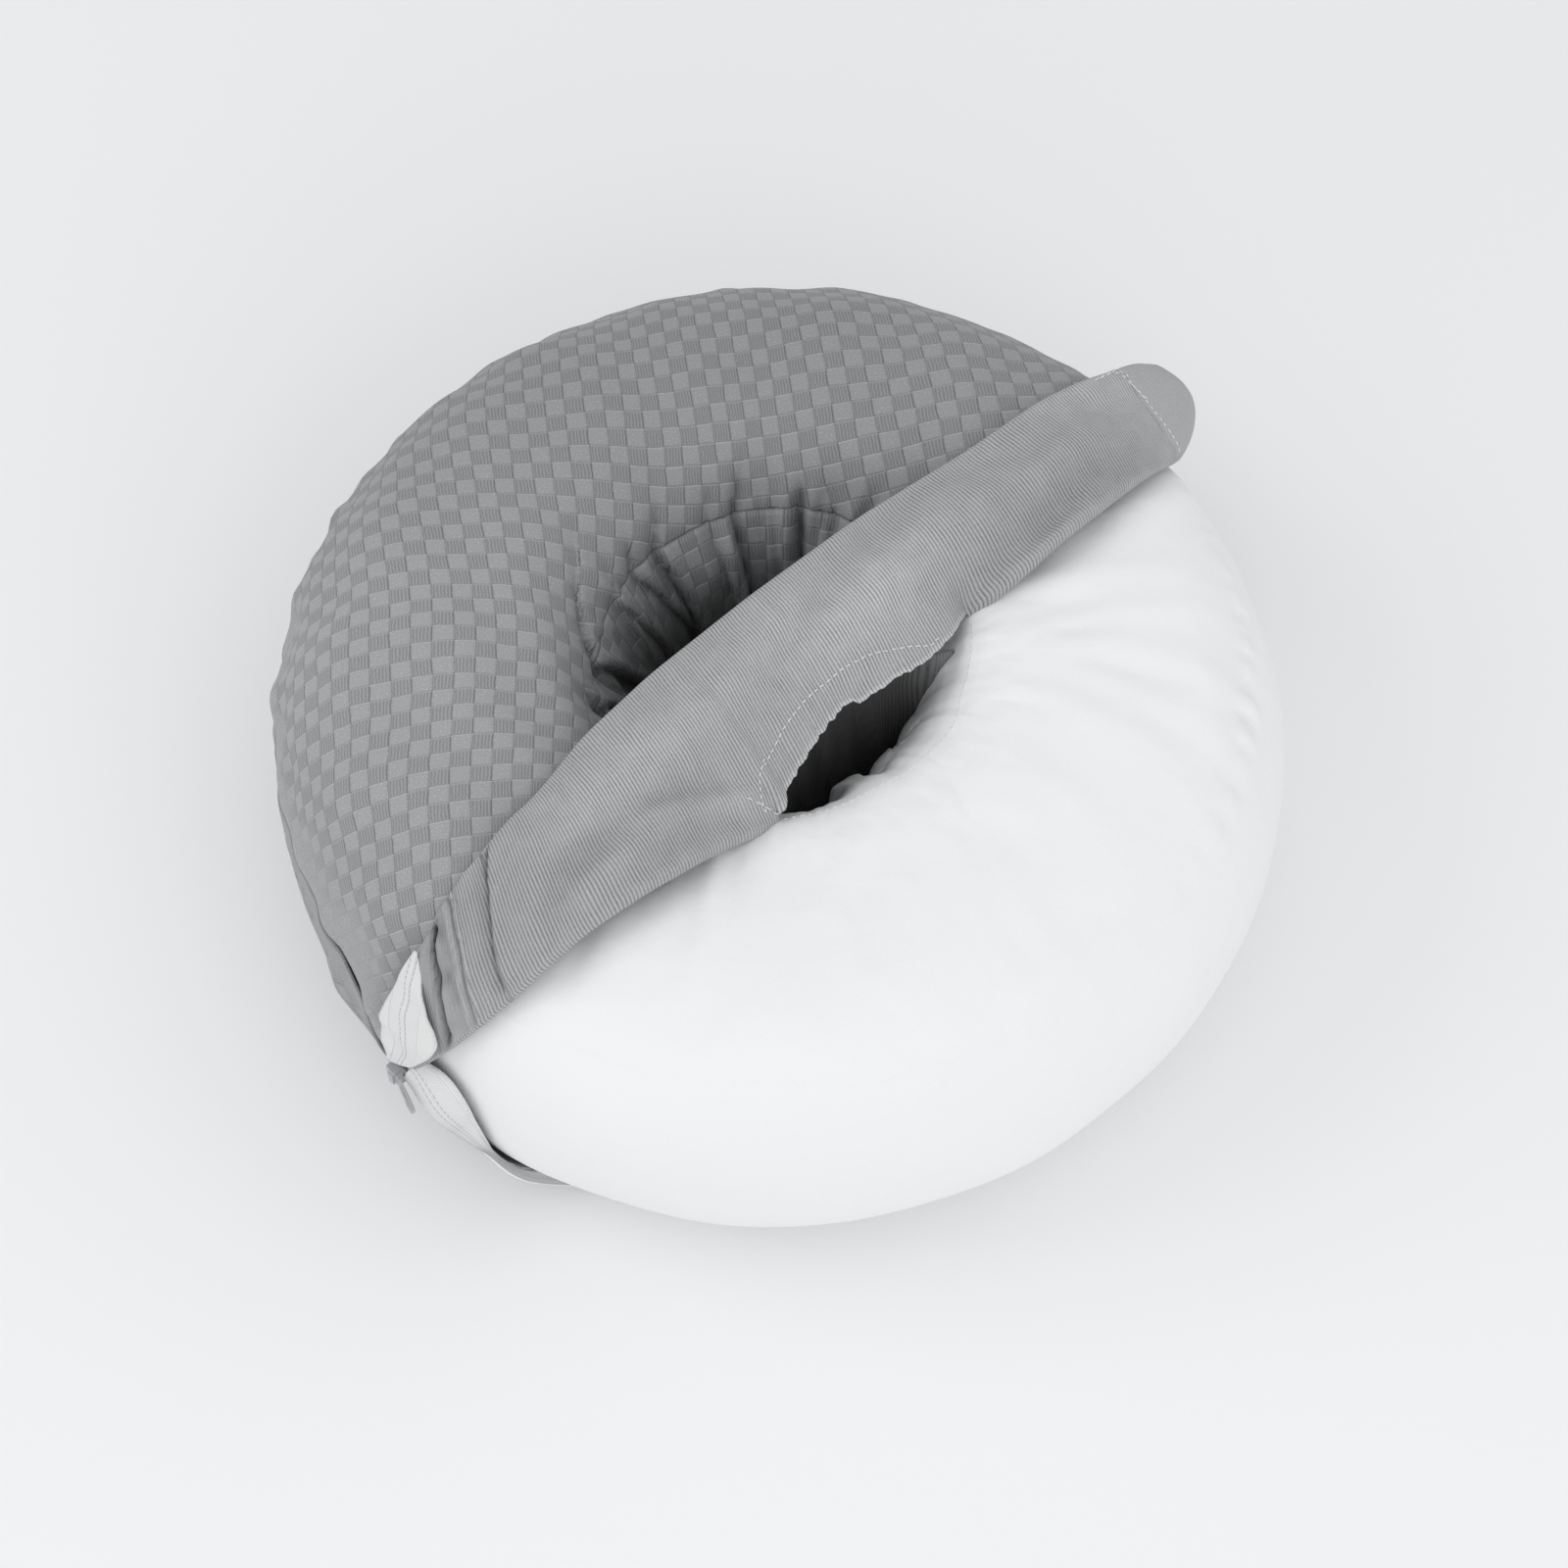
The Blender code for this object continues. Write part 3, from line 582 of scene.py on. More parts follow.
@dataclass(frozen=True)
class CheckWeave(Finish):
    """The cover's face: speckled smooth squares and squares of fine crooked ribs, turn about."""

    name: str = "check_weave"
    cell_width: float = 0.0068
    cell_height: float = 0.0064
    ribs: int = 6
    smooth_colour: float = 0.320
    ribbed_colour: float = 0.302
    rib_shade: float = 0.26

    def build(self, bench: NodeBench) -> bpy.types.Material:
        """Makes the material on a bench.

        Args:
            bench: The bench.

        Returns:
            The material.
        """
        x, y = bench.pattern()
        shade, plain = bench.pattern("tone")
        checked = bench.scaled(plain, 1.0, 0.0)
        # squares with a slight drift
        drift = bench.noise(bench.place(x, y), 95.0, 2.0)
        x = bench.math("MULTIPLY_ADD", bench.minus(drift, 0.5), 0.0011, x)
        drift_y = bench.noise(bench.place(y, x, 3.1), 95.0, 2.0)
        y = bench.math("MULTIPLY_ADD", bench.minus(drift_y, 0.5), 0.0011, y)
        column, row = bench.math("DIVIDE", x, self.cell_width), bench.math("DIVIDE", y, self.cell_height)
        cells = bench.plus(bench.math("FLOOR", column), bench.math("FLOOR", row))
        ribbed = bench.times(bench.math("FLOORED_MODULO", cells, 2.0), checked)
        in_x, in_y = bench.math("FRACT", column), bench.math("FRACT", row)
        side = bench.math("MINIMUM", in_x, bench.minus(1.0, in_x))
        end = bench.math("MINIMUM", in_y, bench.minus(1.0, in_y))
        # crooked ribs, and the dark gaps between them
        crook = bench.noise(bench.place(bench.times(x, 0.5), y, 7.7), 900.0, 2.0)
        rib_place = bench.math("MULTIPLY_ADD", bench.minus(crook, 0.5), 0.16, in_x)
        rib = bench.wave(rib_place, 1.0 / self.ribs)
        gap = bench.times(bench.step(rib, 0.50, 0.12), bench.step(end, 0.04, 0.10))
        gap = bench.times(gap, ribbed)
        # lines round the squares
        side_line = bench.times(bench.step(side, 0.070, 0.015), bench.scaled(ribbed, 0.14, 0.30))
        top_line = bench.times(bench.step(in_y, 0.90, 0.97), bench.scaled(ribbed, 0.22, 0.06))
        top_line = bench.times(top_line, checked)
        foot_line = bench.times(bench.step(in_y, 0.09, 0.02), 0.22)
        # pale flecks and fine grain
        fleck = bench.noise(bench.place(x, y, 1.7), 1500.0, 2.0, 0.7)
        grain = bench.noise(bench.place(x, y, 4.7), 3600.0, 1.0)
        specks = bench.times(bench.step(fleck, 0.52, 0.68), bench.scaled(ribbed, 0.34, 0.10))
        tone = bench.plus(bench.scaled(grain, 0.78, 1.20), specks)
        broad = bench.scaled(bench.noise(bench.object_place(), 22.0, 3.0), -0.06, 0.06)
        tone = bench.plus(bench.plus(tone, broad), top_line)
        lines = bench.times(bench.plus(side_line, foot_line), checked)
        for dark in (bench.times(gap, self.rib_shade), lines):
            tone = bench.minus(tone, dark)
        # painted shade from the tone map darkens the cloth, and lightens it where it is below 0
        tone = bench.times(tone, bench.scaled(shade, 1.0, 0.0))
        base = bench.colour_mix(ribbed, grey(self.smooth_colour, -0.022), grey(self.ribbed_colour, -0.026))
        # padded squares with sunk gaps
        edge = bench.math("MINIMUM", bench.step(side, 0.0, 0.12), bench.step(end, 0.0, 0.12))
        pad = bench.times(edge, bench.scaled(ribbed, 1.0, 0.55))
        normal = bench.bumped(pad, 0.00016)
        normal = bench.bumped(bench.minus(1.0, gap), 0.00010, normal)
        normal = bench.bumped(fleck, 0.00016, normal)
        return bench.finish(bench.shade(base, tone), 0.82, normal, Sheen_Weight=0.10, Sheen_Roughness=0.5)


@dataclass(frozen=True)
class RibbedReverse(Finish):
    """The cover's reverse: fine slanting ribs."""

    name: str = "ribbed_reverse"
    pitch: float = 0.00118
    colour: float = 0.440
    depth: float = 0.00018

    def build(self, bench: NodeBench) -> bpy.types.Material:
        """Makes the material on a bench.

        Args:
            bench: The bench.

        Returns:
            The material.
        """
        x, y = bench.pattern()
        shade, plain = bench.pattern("tone")
        drift = bench.noise(bench.place(bench.times(x, 3.0), y), 60.0, 2.0)
        x = bench.math("MULTIPLY_ADD", bench.minus(drift, 0.5), 0.0007, x)
        rib = bench.wave(x, self.pitch)
        strength = bench.noise(bench.place(x, y, 2.0), 150.0, 2.0)
        strength = bench.times(bench.scaled(strength, 0.22, 0.66), bench.scaled(plain, 1.0, 0.12))
        furrow = bench.times(bench.step(rib, 0.62, 0.10), strength)
        dash = bench.noise(bench.place(x, bench.times(y, 0.35)), 2600.0, 1.0)
        cross = bench.noise(bench.place(x, y, 5.0), 1900.0, 2.0, 0.7)
        broad = bench.scaled(bench.noise(bench.object_place(), 26.0, 3.0), -0.09, 0.09)
        tone = bench.minus(1.0, furrow)
        tone = bench.plus(tone, bench.scaled(dash, -0.13, 0.13))
        tone = bench.plus(tone, bench.plus(bench.scaled(cross, -0.24, 0.24), broad))
        # painted shade from the tone map darkens the cloth, and lightens it where it is below 0
        tone = bench.times(tone, bench.scaled(shade, 1.0, 0.0))
        normal = bench.bumped(rib, self.depth)
        normal = bench.bumped(cross, 0.00010, normal)
        colour = bench.shade(bench.colour_mix(plain, grey(self.colour, -0.018), grey(self.colour * 0.86, -0.018)), tone)
        return bench.finish(colour, 0.85, normal, Sheen_Weight=0.08, Sheen_Roughness=0.5)


@dataclass(frozen=True)
class WhiteCotton(Finish):
    """The filled ring's fine white cotton."""

    name: str = "white_cotton_cloth"
    colour: float = 0.86

    def build(self, bench: NodeBench) -> bpy.types.Material:
        """Makes the material on a bench.

        Args:
            bench: The bench.

        Returns:
            The material.
        """
        place = bench.object_place()
        weave = bench.noise(place, 2600.0, 1.0)
        crinkle = bench.noise(place, 75.0, 4.0, 0.6)
        soft = bench.noise(place, 28.0, 3.0)
        tone = bench.plus(bench.scaled(weave, 0.985, 1.01), bench.scaled(soft, -0.012, 0.012))
        normal = bench.bumped(soft, 0.0016)
        normal = bench.bumped(crinkle, 0.00045, normal)
        normal = bench.bumped(weave, 0.00004, normal)
        base = bench.colour_mix(soft, grey(self.colour, -0.004), grey(self.colour, -0.012))
        return bench.finish(bench.shade(base, tone), 0.9, normal, Sheen_Weight=0.05)


@dataclass(frozen=True)
class WovenTape(Finish):
    """White zip tape: a slanting weave with two rows of stitches down its middle."""

    name: str = "woven_tape"
    colour: float = 0.80
    width: float = 0.015
    row_gap: float = 0.0011

    def build(self, bench: NodeBench) -> bpy.types.Material:
        """Makes the material on a bench.

        Args:
            bench: The bench.

        Returns:
            The material.
        """
        x, y = bench.pattern()
        centre = bench.math("ABSOLUTE", bench.minus(y, self.width / 2))
        slant = bench.plus(x, bench.times(y, 0.9))
        weave = bench.wave(slant, 0.00078)
        warp = bench.wave(y, 0.00082)
        row = bench.step(bench.math("ABSOLUTE", bench.minus(centre, self.row_gap)), 0.00042, 0.00012)
        dash = bench.times(row, bench.step(bench.wave(x, 0.0019), 0.35, 0.6))
        edge = bench.step(centre, self.width / 2 - 0.0016, self.width / 2 - 0.0011)
        tone = bench.plus(bench.scaled(weave, 0.93, 1.0), bench.scaled(warp, -0.05, 0.03))
        tone = bench.minus(tone, bench.times(row, bench.scaled(dash, 0.26, 0.0)))
        height = bench.plus(weave, bench.times(warp, 0.8))
        normal = bench.bumped(height, 0.00010)
        normal = bench.bumped(bench.plus(dash, edge), 0.00022, normal)
        colour = bench.shade(bench.colour_mix(edge, grey(self.colour, -0.004), grey(self.colour * 1.02)), tone)
        return bench.finish(colour, 0.7, normal, Sheen_Weight=0.05)


@dataclass(frozen=True)
class SewingThread(Finish):
    """Fine twisted sewing thread."""

    name: str = "sewing_thread"
    colour: float = 0.80

    def build(self, bench: NodeBench) -> bpy.types.Material:
        """Makes the material on a bench.

        Args:
            bench: The bench.

        Returns:
            The material.
        """
        twist = bench.noise(bench.object_place(), 3000.0, 1.0)
        colour = bench.shade(grey(self.colour)[:3], bench.scaled(twist, 0.85, 1.05))
        return bench.finish(colour, 0.6, bench.bumped(twist, 0.00008))


@dataclass(frozen=True)
class GreyPaint(Finish):
    """Satin grey paint on die-cast metal."""

    name: str = "grey_paint"
    colour: float = 0.42

    def build(self, bench: NodeBench) -> bpy.types.Material:
        """Makes the material on a bench.

        Args:
            bench: The bench.

        Returns:
            The material.
        """
        place = bench.object_place()
        wear = bench.noise(place, 420.0, 4.0, 0.65)
        colour = bench.colour_mix(bench.step(wear, 0.55, 0.75), grey(self.colour, -0.03), grey(self.colour * 1.5))
        normal = bench.bumped(bench.noise(place, 900.0, 2.0), 0.00003)
        return bench.finish(colour, 0.38, normal, Metallic=0.35, Coat_Weight=0.3)


@dataclass(frozen=True)
class PaleFloor(Finish):
    """The pale matt surface that the pillow lies on. It glows with painted light, more on the near side."""

    name: str = "pale_floor"
    colour: float = 0.78
    painted_glow: tuple[float, float] = (0.080, 0.112)

    def build(self, bench: NodeBench) -> bpy.types.Material:
        """Makes the material on a bench.

        Args:
            bench: The bench.

        Returns:
            The material.
        """
        split = bench.tree.nodes.new("ShaderNodeSeparateXYZ")
        bench.put(split.inputs[0], bench.object_place())
        # painted light: the floor glows, brighter towards the near side
        near = bench.step(split.outputs[1], 0.30, -0.30)
        bench.put(bench.shader.inputs["Emission Color"], grey(1.0, -0.006))
        bench.put(bench.shader.inputs["Emission Strength"], bench.scaled(near, *self.painted_glow))
        return bench.finish(grey(self.colour, -0.006), 0.95)


# ---------------------------------------------------------------- forms that the pieces share


@dataclass(frozen=True)
class RingForm:
    """The filled ring's plain form: a squarish section swept round the hole."""

    radius: float = 0.104
    half_width: float = 0.0545
    half_height: float = 0.0660
    level: float = 0.0615
    power: float = 2.35
    base: float = 0.0026

    def section(self, turn: Array) -> tuple[Array, Array]:
        """Half width and half height of the section at a turn.

        Args:
            turn: Turns.

        Returns:
            The two halves.
        """
        width = self.half_width + 0.0006 * np.sin(3 * turn + 0.4)
        height = self.half_height + 0.0008 * np.sin(2 * turn + 1.1) + 0.0005 * np.sin(5 * turn)
        return width, height

    def skin(self, turn: Array, angle: Array, lift: Array) -> Array:
        """Points on the skin, pushed out by lift.

        Args:
            turn: Turns.
            angle: Angles round the section, from its outer side over its crest.
            lift: How far the points are pushed out.

        Returns:
            The points.
        """
        width, height = self.section(turn)
        radius = self.radius + (width + lift) * signed_power(np.cos(angle), 2 / self.power)
        level = self.level + (height + lift) * signed_power(np.sin(angle), 2 / self.power)
        return at(turn, radius, np.maximum(level, self.base - lift))

    def angle_of(self, points: Array) -> Array:
        """Section angles of points near the skin.

        Args:
            points: The points.

        Returns:
            An angle for each.
        """
        out = (np.hypot(points[..., 0], points[..., 1]) - self.radius) / self.half_width
        rise = (points[..., 2] - self.level) / self.half_height
        return np.arctan2(signed_power(rise, self.power / 2), signed_power(out, self.power / 2))

    def pushed_out(self, points: Array, lift: Array) -> Array:
        """The points, moved out from the middle of the ring's tube where they would be under the skin plus lift.

        Args:
            points: Points near the ring.
            lift: How far over the skin they have to be.

        Returns:
            The points, moved.
        """
        turn = np.arctan2(points[..., 1], points[..., 0])
        width, height = self.section(turn)
        out = np.hypot(points[..., 0], points[..., 1]) - self.radius
        rise = points[..., 2] - self.level
        reach = np.abs(out / (width + lift)) ** self.power + np.abs(rise / (height + lift)) ** self.power
        scale = np.maximum(1.0, reach ** (-1 / self.power))
        return at(turn, self.radius + out * scale, self.level + rise * scale)

    def stack_direction(self, points: Array) -> Array:
        """The way that layers pile up: straight up inside the ring's crest, and away from its tube outside it.

        Args:
            points: Points on the ring.

        Returns:
            Unit vectors.
        """
        turn = np.arctan2(points[..., 1], points[..., 0])
        out = np.maximum(np.hypot(points[..., 0], points[..., 1]) - self.radius, 0.0)
        return unit(at(turn, out, np.maximum(points[..., 2] - self.level, 0.02)))


@dataclass(frozen=True)
class SeamLines:
    """Where the cover's seams and folds lie, in angles round the ring's section and offsets across the fold."""

    ring: RingForm
    fold_turn: float = math.radians(41.5)
    zip: float = math.radians(15)
    zip_dip: float = math.radians(18.5)
    zip_dip_turn: float = math.radians(-137)
    zip_dip_width: float = math.radians(8)
    rims: Table = (
        # turn and section angle of the hole's rim seam, in degrees
        (34, 137.0), (64, 139.2), (100, 139.7), (127, 140.2), (140, 141.6), (150, 142.6), (163, 144.4),
        (180, 142.8), (200, 139.0), (224, 136.0), (300, 136.0), (360, 137.0),
    )
    zip_right: float = math.radians(15)
    right_turns: tuple[float, float] = (math.radians(52), math.radians(35))
    cover_lift: float = 0.0026
    crease_left: Table = (
        # section angle in degrees, offset across the fold
        (-5, 0.0115), (0, 0.0139), (5, 0.0178), (10, 0.0212), (15, 0.0244), (20, 0.0273), (25, 0.0300),
        (30, 0.0322), (40, 0.0363), (50, 0.0388), (60, 0.0400), (80, 0.0415), (90, 0.0430), (100, 0.0445),
        (120, 0.0450), (137, 0.0455),
    )
    crease_right: Table = (
        (15, 0.0141), (20, 0.0171), (25, 0.0199), (30, 0.0222), (35, 0.0245), (40, 0.0264), (50, 0.0295),
        (60, 0.0314), (80, 0.0332), (90, 0.0340), (110, 0.0338), (120, 0.0327), (130, 0.0310),
        (137, 0.0297),
    )

    @property
    def along(self) -> Array:
        """The way along the fold."""
        return np.array((math.cos(self.fold_turn), math.sin(self.fold_turn), 0.0))

    @property
    def across(self) -> Array:
        """The way across the fold, towards the bare half."""
        return np.array((math.sin(self.fold_turn), -math.cos(self.fold_turn), 0.0))

    def place(self, along: Array, across: Array, level: Array) -> Array:
        """Points from places along and across the fold and their levels."""
        plan = np.asarray(along)[..., None] * self.along + np.asarray(across)[..., None] * self.across
        return plan + np.asarray(level)[..., None] * UP

    def zip_angle(self, turn: Array) -> Array:
        """Section angle of the zip seam, which dips at the slider.

        Args:
            turn: Turns.

        Returns:
            The section angle at each.
        """
        dip = self.zip_dip * bump(wrapped(turn - self.zip_dip_turn), 0.0, self.zip_dip_width)
        rise = self.zip_right * ease(-wrapped(turn), *(-limit for limit in self.right_turns))
        return self.zip - dip + rise * (wrapped(turn) > math.radians(-60))

    def panel_place(self, share: Array, ring_share: Array) -> tuple[Array, Array]:
        """Turn and section angle of the flat part of the top panel.

        Args:
            share: 0 at the right crease, 1 at the left one.
            ring_share: 0 at the hole's rim, 1 at the zip.

        Returns:
            The turn and the section angle.
        """
        zip_turn = self.fold_turn - mix(math.radians(9.2), math.radians(-184.6), share)
        angle = mix(self.rim_angle(zip_turn), self.zip_angle(zip_turn), ring_share)
        radius = np.hypot(*np.moveaxis(self.ring.skin(zip_turn, angle, self.cover_lift)[..., :2], -1, 0))
        right, left = (
            np.arcsin(from_table(np.degrees(angle), crease, spread=3.0) / radius)
            for crease in (self.crease_right, self.crease_left)
        )
        return self.fold_turn - mix(right, -math.pi - left, share), angle

    def rim_angle(self, turn: Array) -> Array:
        """Section angle of the hole's rim seam at a turn between 0 and a full one."""
        return np.radians(from_table(np.degrees(turn), self.rims, spread=5.0))

    def panel_rim_angle(self, turn: Array) -> Array:
        """Section angle of the top panel's own rim, where it meets the lining, at a turn between 0 and a full one."""
        rim_turn, angle = self.panel_place(np.linspace(0, 1, 161), np.array(0.0))
        return np.interp(turn, rim_turn, angle)

    def zip_wave(self, turn: Array) -> Array:
        """How far the gathered cloth on both sides of the zip seam waves out."""
        return np.maximum(0.0004 + 0.0006 * ripples(at(turn, 0.158, 0.0)[..., :2], 0.018, 44), -0.0003)

    def inside_crease(self, points: Array) -> Array:
        """How far inside the folded cover's crease places on the ring are.

        Args:
            points: The places.

        Returns:
            Metres, below 0 on the bare side.
        """
        along, across = points @ self.along, points @ self.across
        angle = np.degrees(self.ring.angle_of(points))
        right, left = (from_table(angle, crease) for crease in (self.crease_right, self.crease_left))
        return np.where(along > 0, right, left) - across

    def panel_points(self, share: Array, ring_share: Array) -> Array:
        """Points of the flat part of the top panel, before its own puckers."""
        return self.ring.skin(*self.panel_place(share, ring_share), self.cover_lift)


@dataclass(frozen=True)
class Crease:
    """A soft fold in the turned-back cloth: a line in the fold's own directions, in metres."""

    start: tuple[float, float]
    end: tuple[float, float]
    half_width: float
    height: float
    bow: float = 0.0

    def shape(self, along: Array, across: Array) -> Array:
        """Height at places given along and across the fold.

        Args:
            along: Places along the fold.
            across: Places across it.

        Returns:
            The height at each place.
        """
        start, end = np.array(self.start), np.array(self.end)
        way = end - start
        length = float(np.linalg.norm(way))
        way /= length
        out_along, out_across = along - start[0], across - start[1]
        run = out_along * way[0] + out_across * way[1]
        side = out_across * way[0] - out_along * way[1]
        side = side - self.bow * 4 * (run / length) * (1 - run / length)
        fade = ease(run, -0.35 * length, 0.25 * length) * (1 - ease(run, 0.75 * length, 1.35 * length))
        return self.height * bump(side, 0.0, self.half_width) * fade


@dataclass(frozen=True)
class PleatLine:
    """A fold of the cloth gathered at the hole's rim.

    It has a turn, a depth, a half width in degrees, and a run out over the panel. Its leans are how far it turns
    in 20 mm of panel and in 60 mm of lining. Its open side is 1 where it sinks towards greater turns.
    """

    turn: float
    depth: float
    half_width: float
    run: float
    lean: float
    open_side: int
    wall_lean: float

    def profile(self, turn: Array, middle: Array) -> Array:
        """The fold's section: 1 at its sharp bottom, and a soft slope on its open side."""
        side = wrapped(turn - middle) / math.radians(self.half_width) * self.open_side
        return np.where(side > 0, np.exp(-side / 1.3), np.exp(-((side / 0.35) ** 2)))


# ---------------------------------------------------------------- pieces


@dataclass(frozen=True)
class Ridge:
    """A soft radial ridge of the bare ring: its turn, its run over the section in degrees, and its size."""

    turn: float
    from_angle: float
    to_angle: float
    half_turn: float
    height: float
    lean: float = 0.0


@dataclass
class InnerPillow:
    """The filled white ring, with a stitched seam on its outer shoulder and a gathered one on the hole's rim."""

    ring: RingForm
    seams: SeamLines
    turns: int = 180
    rings: int = 84
    outer_seam: float = math.radians(41.5)
    rim_seam: float = math.radians(138)
    rim_hold: float = 0.24
    resting_height: float = 0.006
    hole_edge: float = math.radians(161)
    fill_widths: tuple[float, float] = (0.74, 0.50)
    flank_middle: float = math.radians(-8)
    flank_width: float = math.radians(34)
    flank_lifts: tuple[float, float, float] = (0.0004, 0.0034, 0.0006)
    sink: float = 0.0040
    sink_run: tuple[float, float] = (0.002, 0.014)
    crease_rise: float = 0.0022
    gather_depth: float = 0.0013
    knob_height: float = 0.0030
    slack_lift: float = -0.0032
    cap: float = 0.0040
    frames: int = 20
    pressure: float = 4.0
    pucker_seed: int = 7
    rim_fill: Table = (
        # turn in degrees, and how far the hole's edge is filled out
        (-180, 0.0), (-120, 0.0060), (-90, 0.0088), (-80, 0.0100), (-70, 0.0108), (-60, 0.0130),
        (-50, 0.0126), (-40, 0.0136), (-30, 0.0144), (-20, 0.0148), (-10, 0.0148), (0, 0.0136),
        (10, 0.0104), (20, 0.0060), (40, 0.0), (180, 0.0),
    )
    ridges: tuple[Ridge, ...] = (
        Ridge(13, 62, 118, 2.6, 0.0012, 4),
        Ridge(5, 58, 112, 2.2, 0.0012, -3),
        Ridge(-2, 50, 125, 2.8, 0.0018, 5),
        Ridge(-11, 45, 100, 2.4, 0.0012, 6),
        Ridge(-19, 40, 118, 3.2, 0.0019, 8),
        Ridge(-33, 70, 120, 3.0, 0.0010, 4),
        Ridge(-50, 80, 128, 2.6, 0.0010, 3),
        Ridge(-66, 85, 126, 2.4, 0.0009, 0),
        Ridge(-103, 70, 126, 2.2, 0.0016, -4),
        Ridge(-112, 75, 124, 3.0, 0.0010, -4),
        Ridge(24, 60, 110, 2.6, 0.0012, 0),
    )

    def grid_angles(self) -> Array:
        """Section angles of the grid's rows, drawn closer together at the two seams.

        Returns:
            The angle of each row.
        """
        plain = np.linspace(-math.pi, math.pi, 721)
        density = 1 + 2.2 * bump(plain, self.outer_seam, 0.14) + 2.2 * bump(plain, self.rim_seam, 0.22)
        return crowded(plain, density, self.rings)

    def pucker(self, turn: Array) -> Array:
        """How deep the rim's gathers are at a turn, from 0 to 1, uneven round the hole.

        Args:
            turn: Turns.

        Returns:
            The depth at each.
        """
        ring = at(turn, 0.058, 0.0)[..., :2]
        wave = ripples(ring, 0.0105, self.pucker_seed) * 0.5 + ripples(ring, 0.0052, self.pucker_seed + 1) * 0.25
        return np.clip(0.5 + 0.5 * wave, 0.0, 1.0)

    def seam_lift(self, turn: Array, angle: Array) -> Array:
        """How far the seams and the gathers beside them draw the skin in or out.

        Args:
            turn: Turns.
            angle: Section angles.

        Returns:
            Metres, above 0 outwards.
        """
        outer = wrapped(angle - self.outer_seam)
        rim = wrapped(angle - self.rim_seam)
        deep = self.pucker(turn)
        skirt = at(turn, 0.150, 0.0)[..., :2]
        uneven = 0.5 + 0.5 * np.clip(ripples(skirt, 0.060, 22), -1, 1)
        right = bump(wrapped(turn - math.radians(-4)), 0.0, math.radians(22))
        # the outer seam, with its puckers
        groove = (0.0004 - 0.0006 * uneven) * bump(outer, 0.0, 0.018)
        fine = ripples(skirt, 0.009, 21) * mix(0.00012 * uneven, 0.0008, right) * bump(outer, 0.0, 0.10)
        # the gathered rim, and the knobs of cloth that it pushes into the hole
        gather = -self.gather_depth * deep * bump(rim, 0.08, 0.17) - 0.0002 * bump(rim, 0.0, 0.030)
        edge = at(turn, 0.058, 0.0)[..., :2]
        knobs = self.knob_height * np.clip(ripples(edge, 0.021, 24), -1.4, 1.4) * bump(rim, 0.42, 0.26)
        knobs = knobs + 0.0003 * (1 - deep) * bump(rim, -0.13, 0.09)
        return groove + fine + gather + knobs

    def ridge_lift(self, turn: Array, angle: Array) -> Array:
        """Height of the soft radial ridges.

        Args:
            turn: Turns.
            angle: Section angles.

        Returns:
            The height at each place.
        """
        lift = np.zeros_like(turn)
        for ridge in self.ridges:
            start, end = math.radians(ridge.from_angle), math.radians(ridge.to_angle)
            middle = math.radians(ridge.turn) + math.radians(ridge.lean) * (angle - (start + end) / 2)
            side = wrapped(turn - middle) / math.radians(ridge.half_turn)
            profile = np.exp(-(side**2)) - 0.35 * np.exp(-((side - 1.9) ** 2))
            run = ease(angle, start - 0.35, start + 0.25) * (1 - ease(angle, end - 0.2, end + 0.25))
            lift = lift + 0.45 * ridge.height * profile * run
        return lift

    def swell(self, thing: bpy.types.Object, pinned: Array) -> None:
        """Fills the cloth with pressure, holding its seams, and keeps the result.

        Args:
            thing: The cloth, as a mesh.
            pinned: How firmly each vertex is held, from 0 to 1.
        """
        group = thing.vertex_groups.new(name="held")
        for index in np.flatnonzero(pinned > 0.01):
            group.add([int(index)], float(pinned[index]), "REPLACE")
        cloth = thing.modifiers.new("Cloth", "CLOTH")
        settings = cloth.settings
        settings.use_pressure = True
        settings.uniform_pressure_force = self.pressure
        settings.vertex_group_mass = "held"
        settings.effector_weights.gravity = 0.0
        settings.shrink_min = -0.025
        settings.quality = 4
        settings.mass = 0.2
        settings.bending_stiffness = 0.3
        cloth.collision_settings.use_collision = False
        cloth.point_cache.frame_start = 1
        cloth.point_cache.frame_end = self.frames
        scene = bpy.context.scene
        for frame in range(1, self.frames + 1):
            scene.frame_set(frame)
        make_active(thing)
        bpy.ops.object.modifier_apply(modifier=cloth.name)
        scene.frame_set(1)

    def build(self) -> bpy.types.Object:
        """Makes the ring: a slack case, swollen, then drawn in along its seams.

        Returns:
            The finished piece.
        """
        turn, angle = np.meshgrid(np.linspace(2 * math.pi, 0, self.turns + 1), self.grid_angles(), indexing="ij")
        seams = bump(wrapped(angle - self.rim_seam), 0, self.rim_hold)
        lift = mix(self.slack_lift, 0.0, seams)
        pattern = np.stack([turn, angle], axis=-1)
        thing = object_from_patches("filled_ring", [Patch(self.ring.skin(turn, angle, lift), pattern)])
        start = vertex_places(thing)
        low = start[:, 2] < self.ring.base + self.resting_height
        held = bump(self.ring.angle_of(start) - self.rim_seam, 0, self.rim_hold)
        self.swell(thing, np.maximum(held, low * 1.0))
        moved = vertex_places(thing) - start
        size = np.linalg.norm(moved, axis=1, keepdims=True)
        moved *= np.minimum(1.0, self.cap / np.maximum(size, 1e-9))
        thing.data.vertices.foreach_set("co", (start + moved).ravel())
        apply_modifier(thing, "SUBSURF", levels=1, render_levels=1)
        self.finish_skin(thing)
        thing.data.materials.append(WhiteCotton().material())
        dress(thing, Slot.COTTON, "inner_pillow")
        return thing

